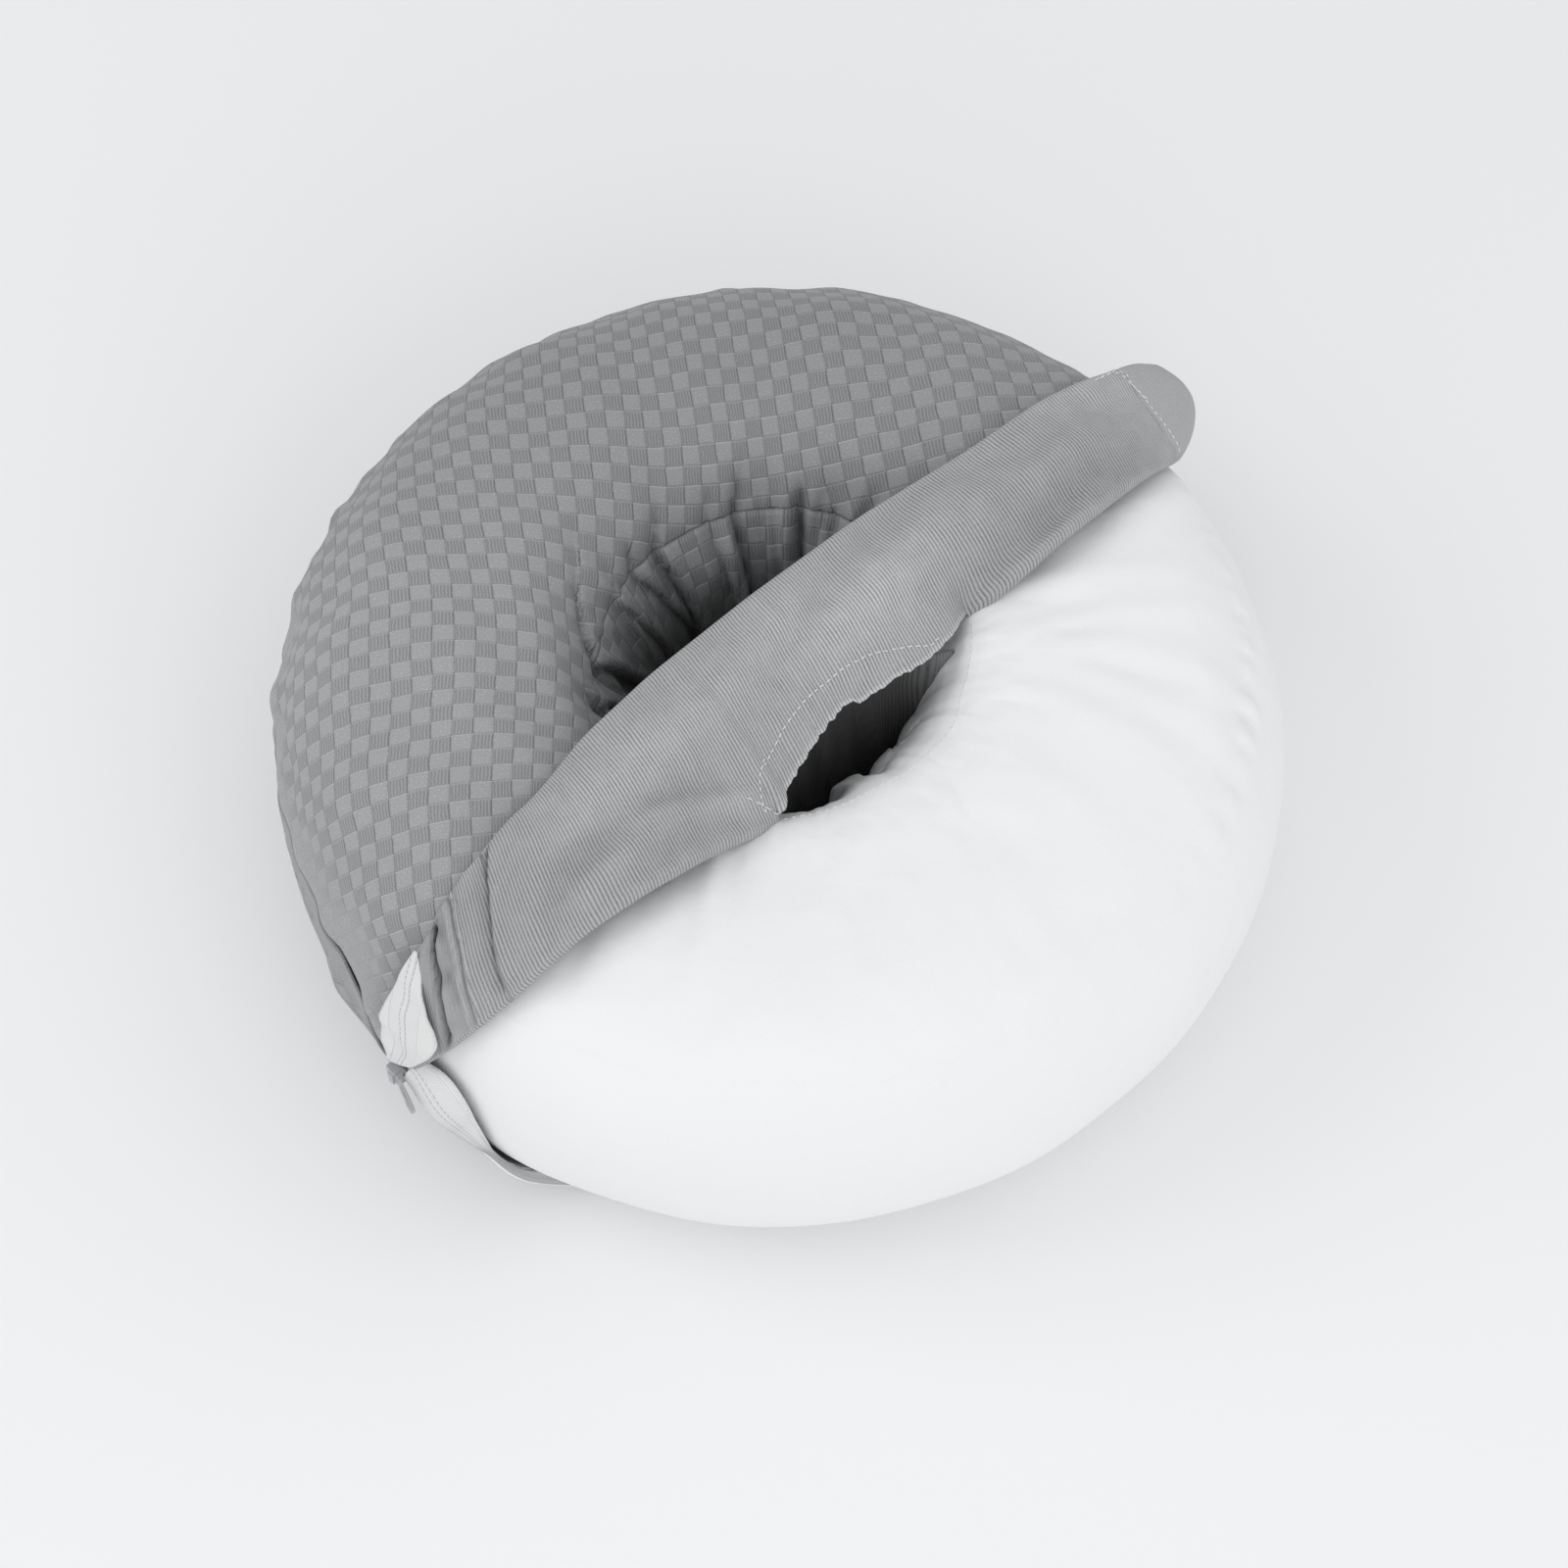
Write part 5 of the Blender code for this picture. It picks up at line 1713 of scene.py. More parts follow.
@dataclass
class HoleWall:
    """The gathered tube of check cloth that lines the hole. Its near half hangs from the turned-back cloth."""

    panel: TopPanel
    thickness: float = 0.0008
    turns: int = 288
    rows: int = 44
    below_rim: float = math.radians(1.3)
    lift: float = 0.0026
    foot_radius: float = 0.0560
    foot_level: float = 0.0012
    arc: float = 0.0252
    arc_middle: float = -0.003
    arc_curve: float = 8.0
    arc_margin: float = 0.0025
    arc_blend: float = 0.016
    hang_gap: float = 0.0018
    sag: float = 3.2
    deepest: float = -0.0038
    hanging_folds: float = 0.4
    top_run: float = 0.62
    seam_overlap: float = 0.0005
    depth_shade: float = 0.86
    hanging_shades: tuple[float, float] = (0.86, 0.55)
    fold_shade: float = 130.0

    def arc_across(self, along: Array) -> Array:
        """How far across the seam on the turned-back cloth lies, inside the raw edge."""
        arc = self.arc + self.arc_curve * (along - self.arc_middle) ** 2
        return np.minimum(arc, self.panel.raw_across(along) - self.arc_margin)

    def arc_radius(self, turn: Array) -> Array:
        """Distance from the hole's axis to the seam on the folded cloth, at turns from the fold's direction.

        Args:
            turn: Turns from the fold's direction.

        Returns:
            The distance at each.
        """
        low, high = np.zeros_like(turn), np.full_like(turn, 0.09)
        for _ in range(30):
            radius = (low + high) / 2
            inside = radius * np.sin(turn) < self.arc_across(radius * np.cos(turn))
            low, high = np.where(inside, radius, low), np.where(inside, high, radius)
        return radius

    def hanging_level(self, along: Array, across: Array) -> Array:
        """The level just under the turned-back cloth where it crosses the hole.

        Args:
            along: Places along the fold.
            across: Places across it.

        Returns:
            The level at each place.
        """
        panel, seams = self.panel, self.panel.seams
        left, right = panel.bridge_low(np.array([0.0, 1.0])) @ seams.along
        low = panel.bridge_low(np.clip((along - left) / (right - left), 0.0, 1.0))
        high = panel.high_points(along)
        share = np.clip((low @ seams.across - across) / (low @ seams.across - high @ seams.across), 0.0, 1.0)
        rise = panel.layer_height(along) * (1 + panel.puff * np.sin(math.pi * share))
        return mix(low[..., 2], high[..., 2], 1 - (1 - share) ** 2) + rise - self.hang_gap

    def hug_radius(self, turn: Array, level: Array) -> Array:
        """Radius of the lining on the ring's inner flank at a level. Near the floor it runs out to the seam.

        Args:
            turn: Turns.
            level: Levels.

        Returns:
            The radius at each place.
        """
        ring = self.panel.seams.ring
        width, height = ring.section(turn)
        drop = np.clip((ring.level - level) / (ring.level - self.foot_level), 0.0, 1.0)
        below = mix(ring.radius - width - self.lift, self.foot_radius, drop**3)
        rise = np.clip((level - ring.level) / (height + self.lift), 0.0, 0.999)
        above = ring.radius - (width + self.lift) * (1 - rise**ring.power) ** (1 / ring.power)
        return np.where(level < ring.level, below, above)

    def wall_points(self, turn: Array, share: Array) -> tuple[Array, Array]:
        """Points of the tube, with how free of the ring each one hangs.

        Args:
            turn: Turns.
            share: 0 at the foot and 1 at the top.

        Returns:
            The points, and 0 to 1 for how free they hang.
        """
        seams = self.panel.seams
        rim = seams.ring.skin(turn, seams.panel_rim_angle(turn) + self.below_rim, self.lift)
        rim_radius = np.hypot(rim[..., 0], rim[..., 1])
        from_fold = wrapped(seams.fold_turn - turn)
        arc = np.where(from_fold > 0, self.arc_radius(from_fold), rim_radius)
        top_radius = np.minimum(arc, rim_radius)
        free = ease(rim_radius - top_radius, 0.0, self.arc_blend)
        along, across = top_radius * np.cos(from_fold), top_radius * np.sin(from_fold)
        top_level = mix(rim[..., 2], self.hanging_level(along, across), free)
        level = mix(self.foot_level, top_level, share)
        hug = self.hug_radius(turn, np.minimum(level, rim[..., 2]))
        sag = 1 - (1 - share) ** self.sag
        radius = np.minimum(mix(self.foot_radius, top_radius, sag), hug)
        return at(turn, mix(hug, radius, ease(free, 0.0, 0.15)), level), free

    def folds(self, turn: Array, share: Array, height: Array) -> tuple[Array, Array]:
        """The lining's gathers.

        Args:
            turn: Turns.
            share: 0 at the foot and 1 at the top.
            height: The lining's height at each turn.

        Returns:
            How far they push the lining inwards, and the painted shade in the folds.
        """
        down = (1 - share) * height
        sink, shade = np.zeros_like(turn + share), np.zeros_like(turn + share)
        for pleat in self.panel.pleats:
            middle = math.radians(pleat.turn) + math.radians(pleat.wall_lean) * down / 0.06
            profile = pleat.profile(turn, middle)
            run = 1 - ease(down, 0.55 * height * min(1.0, pleat.depth / 0.003), height)
            sink = sink - pleat.depth * 1.1 * run * profile
            roll = wrapped(turn - middle) / math.radians(pleat.half_width) * pleat.open_side
            sink = sink + pleat.depth * 0.45 * run * bump(roll, -1.1, 0.9)
            shade = shade + self.fold_shade * pleat.depth * run * profile**2.5
        place = np.stack(np.broadcast_arrays(turn * 0.05, down * 0.35), axis=-1)
        soft = 0.0009 * ripples(place, 0.012, 61) + 0.0008 * ripples(place, 0.026, 62)
        middle = np.sin(math.pi * np.clip(share, 0, 1)) ** 0.5
        return sink + soft * middle + 0.0010 * middle, np.clip(shade, 0.0, 0.75)

    def build(self) -> bpy.types.Object:
        """Makes the tube.

        Returns:
            The finished piece.
        """
        turn = np.linspace(0, 2 * math.pi, self.turns + 1)[:, None]
        share = np.linspace(0, 1, self.rows + 1)[None, :]
        turn, share = np.broadcast_arrays(turn, share)
        points, free = self.wall_points(turn, share)
        height = points[:, -1:, 2]
        inward, shade = self.folds(turn, share, height)
        inward = np.maximum(inward * mix(1.0, self.hanging_folds, free), self.deepest)
        points = points - at(turn, inward * (1 - ease(share, 0.90, 1.0)), 0.0)
        points = points + self.to_rim(turn, points)[:, -1:] * (ease(share, self.top_run, 1.0) * (1 - free))[..., None]
        slack = arc_lengths(points, 1)
        pattern = np.stack(np.broadcast_arrays(turn * 0.066, slack - slack[:, -1:]), axis=-1)
        # painted shade: darker deeper down the hole and where the lining hangs free under the turned-back cloth, less
        # so at the right
        depth = slack[:, -1:] - slack
        left = ease(wrapped(turn - math.radians(100)), 0.0, math.radians(50))
        deep = ease(depth, mix(0.004, -0.004, left), mix(0.075, 0.040, left)) * self.depth_shade
        right = ease(wrapped(turn), math.radians(-12), math.radians(-2))
        hanging = mix(*self.hanging_shades, right) * ease(free, 0.02, 0.25)
        shade = 1 - (1 - shade) * (1 - np.maximum(deep, hanging))
        patch = Patch(points, pattern, np.clip(shade, 0.0, 0.93))
        thing = sheet_object("hole_lining", [patch], self.thickness, CheckWeave(), RibbedReverse())
        dress(thing, Slot.CLOTH, "cover_hole_wall")
        return thing

    def to_rim(self, turn: Array, points: Array) -> Array:
        """The way from each place of the lining to the panel's rim at its turn. It is used for the lining's top.

        Args:
            turn: Turns.
            points: The lining's points.

        Returns:
            A vector for each point.
        """
        panel, seams = self.panel, self.panel.seams
        lift, _ = panel.rim_pleats(turn, np.zeros_like(turn))
        lift = np.maximum(lift - self.seam_overlap, panel.deepest)
        return seams.ring.skin(turn, seams.panel_rim_angle(turn), seams.cover_lift + lift) - points


@dataclass(frozen=True)
class OpenEdge:
    """The under panel's edge where the zip is open, with how far the tape leans out there."""

    middle: float = math.radians(-50)
    reach: float = 1.02
    rows: Table = (
        # turn in degrees, reach up the flank, lean of the tape
        (-138, 1.020, 0.20), (-135, 0.990, 0.20), (-131, 0.985, 0.20), (-129, 0.980, 0.20),
        (-127, 0.860, 0.20), (-126, 0.760, 0.20), (-124.9, 0.700, 0.20), (-123.9, 0.640, 0.20),
        (-122.4, 0.520, 0.18), (-121, 0.380, 0.12), (-119, 0.220, 0.08), (-115, 0.040, 0.04),
        (-110, -0.090, 0.0), (-6, -0.090, 0.0), (6, 0.050, 0.0), (18, 0.180, 0.0), (26, 0.220, 0.0),
        (33, 0.320, 0.0), (35.5, 0.600, 0.0), (37.5, 1.020, 0.0),
    )

    def values(self, turn: Array) -> tuple[Array, Array]:
        """Reach and lean at turns.

        Args:
            turn: Turns.

        Returns:
            Reach and lean at each.
        """
        degrees = np.degrees(self.middle + wrapped(turn - self.middle))
        rows = np.array(self.rows)
        spread = degrees[..., None] + np.array((-0.8, -0.4, 0.0, 0.4, 0.8))
        reach = np.interp(spread, rows[:, 0], rows[:, 1], left=self.reach, right=self.reach).mean(axis=-1)
        lean = np.interp(spread, rows[:, 0], rows[:, 2], left=0.0, right=0.0).mean(axis=-1)
        return reach, lean


@dataclass
class BottomPanel:
    """The under panel: flat on what the part rests on, and up the flank to the zip on the far half."""

    seams: SeamLines
    edge: OpenEdge = OpenEdge()
    thickness: float = 0.0009
    turns: int = 432
    rings: int = 62
    hole_radius: float = 0.0590
    flat_radius: float = 0.1260
    lift: float = 0.0016
    first_angle: float = math.radians(-66)
    climb: float = 0.100
    lift_off: float = 0.12
    notch: float = 0.0032
    notch_width: float = math.radians(5)
    slider_turn: float = math.radians(-135.8)
    stand_out: float = 0.0020
    stand_out_turn: float = math.radians(-124)
    lip: float = 0.0009

    def surface(self, turn: Array, length: Array, half_cloth: float) -> Array:
        """Points of the panel by their distance out from the hole's edge.

        Args:
            turn: Turns.
            length: Distances out from the hole's edge.
            half_cloth: Half the cloth's thickness.

        Returns:
            The points.
        """
        turn, length = np.broadcast_arrays(turn, length)
        flat = self.flat_radius - self.hole_radius
        share = (length - flat) / self.climb
        angle = mix(self.first_angle, self.seams.zip_angle(turn), share)
        out = self.stand_out * bump(wrapped(turn - self.stand_out_turn), 0.0, math.radians(6)) * ease(share, 0.1, 0.6)
        flank = self.seams.ring.skin(turn, angle, self.lift + half_cloth + out)
        level = np.maximum(mix(half_cloth, flank[..., 2], ease(share, 0.0, self.lift_off)), half_cloth)
        flank = np.concatenate([flank[..., :2], level[..., None]], axis=-1)
        floor = at(turn, self.hole_radius + length, half_cloth)
        return np.where((length <= flat)[..., None], floor, flank)

    def edge_length(self, turn: Array) -> Array:
        """How far out the panel reaches at turns.

        Args:
            turn: Turns.

        Returns:
            The distance at each.
        """
        reach = self.climb * self.edge.values(turn)[0]
        notch = self.notch * bump(wrapped(turn - self.slider_turn), 0.0, self.notch_width)
        return self.flat_radius - self.hole_radius + reach - notch

    def flank_wrinkles(self, points: Array, to_edge: Array) -> Array:
        """Soft wrinkles of the flank, stronger beside the zip.

        Args:
            points: Points of the panel.
            to_edge: Their distances from its edge.

        Returns:
            How far each is pushed out.
        """
        soft = 0.0006 * ripples(points, 0.034, 71)
        upright = points * np.array((1.0, 1.0, 0.35))
        gather = 0.0007 * ripples(upright, 0.014, 72) + 0.0004 * ripples(upright, 0.0060, 73)
        apart = 1 - bump(to_edge, 0.0, 0.006)
        wave = self.seams.zip_wave(np.arctan2(points[..., 1], points[..., 0])) * bump(to_edge, 0.0, 0.018)
        return (soft + gather * bump(to_edge, 0.002, 0.018)) * apart + wave + self.lip * bump(to_edge, 0.0, 0.0055)

    def build(self) -> bpy.types.Object:
        """Makes the panel.

        Returns:
            The finished piece.
        """
        turn = np.linspace(0, 2 * math.pi, self.turns + 1)[:, None]
        share = np.linspace(0, 1, self.rings + 1)[None, :]
        length = share * self.edge_length(turn)
        half = self.thickness / 2
        points = self.surface(turn, length, half)
        flank = ease(length - (self.flat_radius - self.hole_radius), 0.010, 0.035)
        closed = ease(self.edge.values(turn)[0], 0.60, 0.96)
        wrinkles = self.flank_wrinkles(points, length[:, -1:] - length) * flank * closed
        points = points + at(np.broadcast_to(turn, wrinkles.shape), np.maximum(wrinkles, -0.0004), 0.0)
        pattern = at(turn, self.hole_radius + length, 0.0)[..., :2]
        to_edge = length[:, -1:] - length
        crook = 0.004 * ripples(pattern, 0.022, 74)
        plain = (1 - ease(to_edge + crook, 0.010, 0.022)) * closed
        # painted shade: a dark line along the closed zip's edge
        shade = 0.22 * bump(to_edge, 0.0, 0.0008) * closed
        patch = Patch(points, pattern, shade, plain)
        thing = sheet_object("under_panel", [patch], self.thickness, RibbedReverse(), CheckWeave())
        dress(thing, Slot.CLOTH, "cover_bottom_panel")
        return thing


def edge_rows(rows: Table, steps: int) -> list[Array]:
    """Columns of a table of angles in degrees, run through evenly and rounded at its rows, in radians.

    Args:
        rows: The table, of four columns.
        steps: How many steps it is run through in.

    Returns:
        The four columns.
    """
    table, place = np.radians(np.array(rows)), np.linspace(0, len(rows) - 1, steps + 1)[:, None]
    inside = np.minimum(np.minimum(place, place[::-1]), 0.5)
    near = place + inside * np.linspace(-1, 1, 7)
    return [np.interp(near, np.arange(len(rows)), table[:, column]).mean(axis=1)[:, None] for column in range(4)]


@dataclass
class LowerTape:
    """The zip's tape on the under panel's open edge: it turns over beside the slider and goes in under the ring."""

    under: BottomPanel
    thickness: float = 0.0008
    width: float = 0.015
    start: float = math.radians(-112)
    end: float = math.radians(32)
    steps: int = 300
    turned_steps: int = 60
    columns: int = 9
    twist_reach: float = 0.32
    twist_bulge: float = 0.0030
    clearance: float = 0.0008
    flat_clearance: float = 0.0030
    panel_half: float = 0.0006
    lifts: tuple[float, float] = (0.0036, 0.0062)
    rows: Table = (
        # turn and section angle of the upper edge, then of the lower edge, in degrees
        (-131.6, 8.0, -134.4, -2.0), (-130.7, 8.7, -133.5, -3.4), (-128.4, 9.7, -132.4, -9.4),
        (-126.5, 6.5, -131.1, -15.9), (-124.9, 0.1, -128.2, -13.2), (-123.6, -8.1, -125.0, -10.6),
        (-123.1, -19.9, -122.6, -14.0), (-121.8, -32.0, -120.8, -30.0), (-118.6, -46.0, -117.6, -48.0),
        (-112.0, -62.0, -112.0, -66.0),
    )

    def turned_over(self, last: Array) -> Array:
        """The tape beside the slider, down to the row of points where it lies along the panel's edge.

        Args:
            last: The row that it runs into.

        Returns:
            A grid of points.
        """
        edges = edge_rows(self.rows, self.turned_steps)
        share = np.linspace(0, 1, self.columns)[None, :]
        turn, angle = mix(edges[0], edges[2], share), mix(edges[1], edges[3], share)
        place = np.linspace(0, 1, self.turned_steps + 1)[:, None]
        roll = 0.0012 * np.sin(math.pi * share) * bump(place, 0.30, 0.20)
        points = self.under.seams.ring.skin(turn, angle, mix(*self.lifts, share) + roll)
        return mix(points, last, ease(place, 0.78, 1.0)[..., None])

    def points(self) -> Array:
        """The tape's middle surface.

        Returns:
            A grid of points.
        """
        turn = np.linspace(self.start, self.end, self.steps + 1)[:, None]
        share = np.linspace(0, 1, self.columns)[None, :]
        length = self.under.edge_length(turn)
        reach, lean = self.under.edge.values(turn)
        turned = ease(reach, 0.0, self.twist_reach)
        clear = self.panel_half + 0.0005 + self.clearance
        width = self.width * share
        hanging = self.under.surface(turn, length - width, self.panel_half)
        onward = self.under.surface(turn, length + width + self.flat_clearance, self.panel_half)
        way = at(np.broadcast_to(turn, (len(turn), self.columns)) + math.pi / 2, 1.0, 0.0)
        off_skin = unit(np.cross(way, onward - hanging))
        hanging = hanging + off_skin * (clear + lean * width)[..., None]
        twist = np.sin(math.pi * turned)
        points = mix(onward, hanging, turned[..., None]) + off_skin * (self.twist_bulge * twist * share)[..., None]
        points = points + off_skin * (0.0005 * ripples(points, 0.018, 81) * share * turned)[..., None]
        points[..., 2] = np.maximum(points[..., 2], self.thickness / 2 + 0.0002)
        return np.concatenate([self.turned_over(points[0])[:-1], points])

    def build(self) -> bpy.types.Object:
        """Makes the tape.

        Returns:
            The finished piece.
        """
        points = self.points()
        run = arc_lengths(points[:, :1], 0)
        pattern = np.stack(np.broadcast_arrays(run, np.linspace(0, self.width, self.columns)[None, :]), axis=-1)
        thing = sheet_object("lower_tape", [Patch(points, pattern)], self.thickness, WovenTape(), WovenTape())
        dress(thing, Slot.TAPE, "zip_tape_lower")
        return thing


@dataclass
class UpperTape:
    """The zip's tape on the turned-back panel, standing up from the slider and in under the fold."""

    ring: RingForm
    thickness: float = 0.0008
    lift: float = 0.0085
    rows: Table = (
        # turn and section angle of the left edge, then of the right edge, in degrees
        (-135.2, 3.6, -131.7, 8.8), (-136.3, 8.2, -128.0, 22.1), (-136.6, 14.9, -129.3, 26.7),
        (-136.3, 23.1, -130.4, 30.1), (-135.7, 29.7, -131.5, 34.7), (-135.5, 38.1, -133.1, 40.1),
        (-135.2, 44.8, -134.8, 44.9),
    )
    steps: int = 56
    columns: int = 14

    def points(self) -> Array:
        """The tape's middle surface.

        Returns:
            A grid of points.
        """
        edges = edge_rows(self.rows, self.steps)
        place = np.linspace(0, 1, self.steps + 1)[:, None]
        share = np.linspace(0, 1, self.columns + 1)[None, :]
        turn, angle = mix(edges[0], edges[2], share), mix(edges[1], edges[3], share)
        crown = 0.0009 * np.sin(math.pi * share) * np.sin(math.pi * place)
        points = self.ring.skin(turn, angle, self.lift + crown)
        return points + at(turn, 0.0003 * ripples(points, 0.012, 91), 0.0)

    def build(self) -> bpy.types.Object:
        """Makes the tape.

        Returns:
            The finished piece.
        """
        points = self.points()
        middle = self.columns // 2
        run = arc_lengths(points[:, middle: middle + 1], 0)
        width = arc_lengths(points, 1)
        width = width - width[:, middle: middle + 1] + 0.0075
        pattern = np.stack(np.broadcast_arrays(run, width), axis=-1)
        thing = sheet_object("upper_tape", [Patch(points, pattern)], self.thickness, WovenTape(), WovenTape())
        dress(thing, Slot.TAPE, "zip_tape_upper")
        return thing


def to_edit(thing: bpy.types.Object, mode: str = "FACE") -> bmesh.types.BMesh:
    """Opens an object in edit mode with nothing selected, and gives its mesh.

    Args:
        thing: The object.
        mode: The kind of element that is selected.

    Returns:
        The mesh that is edited.
    """
    make_active(thing)
    bpy.ops.object.mode_set(mode="EDIT")
    bpy.ops.mesh.select_mode(type=mode)
    bpy.ops.mesh.select_all(action="DESELECT")
    return bmesh.from_edit_mesh(thing.data)


def pick_faces(thing: bpy.types.Object, wanted: Callable[[Vector, Vector], bool]) -> None:
    """Selects the faces, in edit mode, whose middle and normal pass a test.

    Args:
        thing: The object.
        wanted: The test, of a face's middle and normal.
    """
    mesh = to_edit(thing)
    for face in mesh.faces:
        face.select_set(wanted(face.calc_center_median(), face.normal))
    bmesh.update_edit_mesh(thing.data)


def leave_edit() -> None:
    """Goes back to object mode."""
    bpy.ops.object.mode_set(mode="OBJECT")


def placed(thing: bpy.types.Object, matrix: Matrix) -> None:
    """Puts an object's mesh at a place, and leaves the object at the origin.

    Args:
        thing: The object.
        matrix: The place.
    """
    make_active(thing)
    thing.matrix_world = matrix
    bpy.ops.object.transform_apply(location=True, rotation=True, scale=True)


def facing_out(turn: float, centre: Array, lean: float = 0.0) -> Matrix:
    """A placement with local X along the ring, local Y up and local Z outwards, leaned over in its own plane.

    Args:
        turn: Its turn round Z.
        centre: Where its origin goes.
        lean: How far it leans over.

    Returns:
        The placement.
    """
    outward = Vector((math.cos(turn), math.sin(turn), 0.0))
    up = Vector((0.0, 0.0, 1.0))
    basis = Matrix((up.cross(outward), up, outward)).transposed()
    return Matrix.Translation(Vector(centre)) @ basis.to_4x4() @ Matrix.Rotation(lean, 4, "Z")


@dataclass
class ZipSlider:
    """The zip's slider, a small two-lobed block with a raised loop, and the slim drop that hangs from it."""

    ring: RingForm
    turn: float = math.radians(-135.25)
    level: float = 0.0573
    lift: float = 0.0070
    length: float = 0.0070
    width: float = 0.0054
    depth: float = 0.0030
    pull_top: tuple[float, float] = (math.radians(-133.7), 0.0622)
    pull_end: tuple[float, float] = (math.radians(-132.3), 0.0452)
    pull_radius: float = 0.1678
    pull_width: float = 0.0030
    pull_thickness: float = 0.0012

    def body(self) -> bpy.types.Object:
        """The slider's body with its loop.

        Returns:
            The body.
        """
        deselect_all()
        bpy.ops.mesh.primitive_cube_add(size=1.0)
        thing = bpy.context.object
        thing.name = thing.data.name = "slider_body"
        thing.scale = (self.width, self.length, self.depth)
        bpy.ops.object.transform_apply(location=False, rotation=False, scale=True)
        to_edit(thing)
        bpy.ops.mesh.select_all(action="SELECT")
        bpy.ops.mesh.subdivide(number_cuts=3)
        leave_edit()
        pick_faces(thing, lambda middle, normal: normal.y > 0.9 and abs(middle.x) < self.width * 0.26)
        bpy.ops.transform.translate(value=(0.0, -self.length * 0.14, 0.0))
        leave_edit()
        pick_faces(thing, lambda middle, normal: normal.z > 0.9 and abs(middle.x) < self.width * 0.26)
        bpy.ops.mesh.inset(thickness=self.width * 0.05)
        bpy.ops.mesh.extrude_region_move(TRANSFORM_OT_translate={"value": (0.0, 0.0, self.depth * 0.30)})
        leave_edit()
        apply_modifier(thing, "BEVEL", width=0.0004, segments=2)
        apply_modifier(thing, "SUBSURF", levels=1, render_levels=1)
        thing.data.shade_smooth()
        radius = self.ring.radius + self.ring.half_width + self.lift
        placed(thing, facing_out(self.turn, at(self.turn, radius, self.level)))
        return thing

    def drop(self) -> bpy.types.Object:
        """The pull: a flat drop with a raised rim and an eye at its top.

        Returns:
            The pull.
        """
        top, end = (at(turn, self.pull_radius, level) for turn, level in (self.pull_top, self.pull_end))
        length = float(np.linalg.norm(top - end))
        deselect_all()
        bpy.ops.mesh.primitive_cylinder_add(vertices=32, radius=0.5, depth=self.pull_thickness, end_fill_type="NGON")
        thing = bpy.context.object
        thing.name = thing.data.name = "zip_drop"
        thing.scale = (self.pull_width, length, 1.0)
        thing.location = (0.0, -length / 2, 0.0)
        bpy.ops.object.transform_apply(location=True, rotation=False, scale=True)
        for vertex in thing.data.vertices:
            share = -vertex.co.y / length
            vertex.co.x *= 0.52 + 0.62 * share ** 1.3
        pick_faces(thing, lambda middle, normal: abs(normal.z) > 0.9)
        bpy.ops.mesh.inset(thickness=0.0005, use_individual=True)
        bpy.ops.transform.resize(value=(1.0, 1.0, 0.55))
        leave_edit()
        apply_modifier(thing, "BEVEL", width=0.00022, segments=3, limit_method="ANGLE")
        thing.data.shade_smooth()
        middle_turn = (self.pull_top[0] + self.pull_end[0]) / 2
        side = np.cross(UP, at(middle_turn, 1.0, 0.0))
        lean = math.atan2(float((end - top) @ side), float(top[2] - end[2]))
        placed(thing, facing_out(middle_turn, top, lean))
        return thing

    def build(self) -> None:
        """Makes the slider and its drop."""
        body, drop = self.body(), self.drop()
        for thing, node in ((body, "zip_slider"), (drop, "zip_pull")):
            thing.data.materials.append(GreyPaint().material())
            dress(thing, Slot.METAL, node)


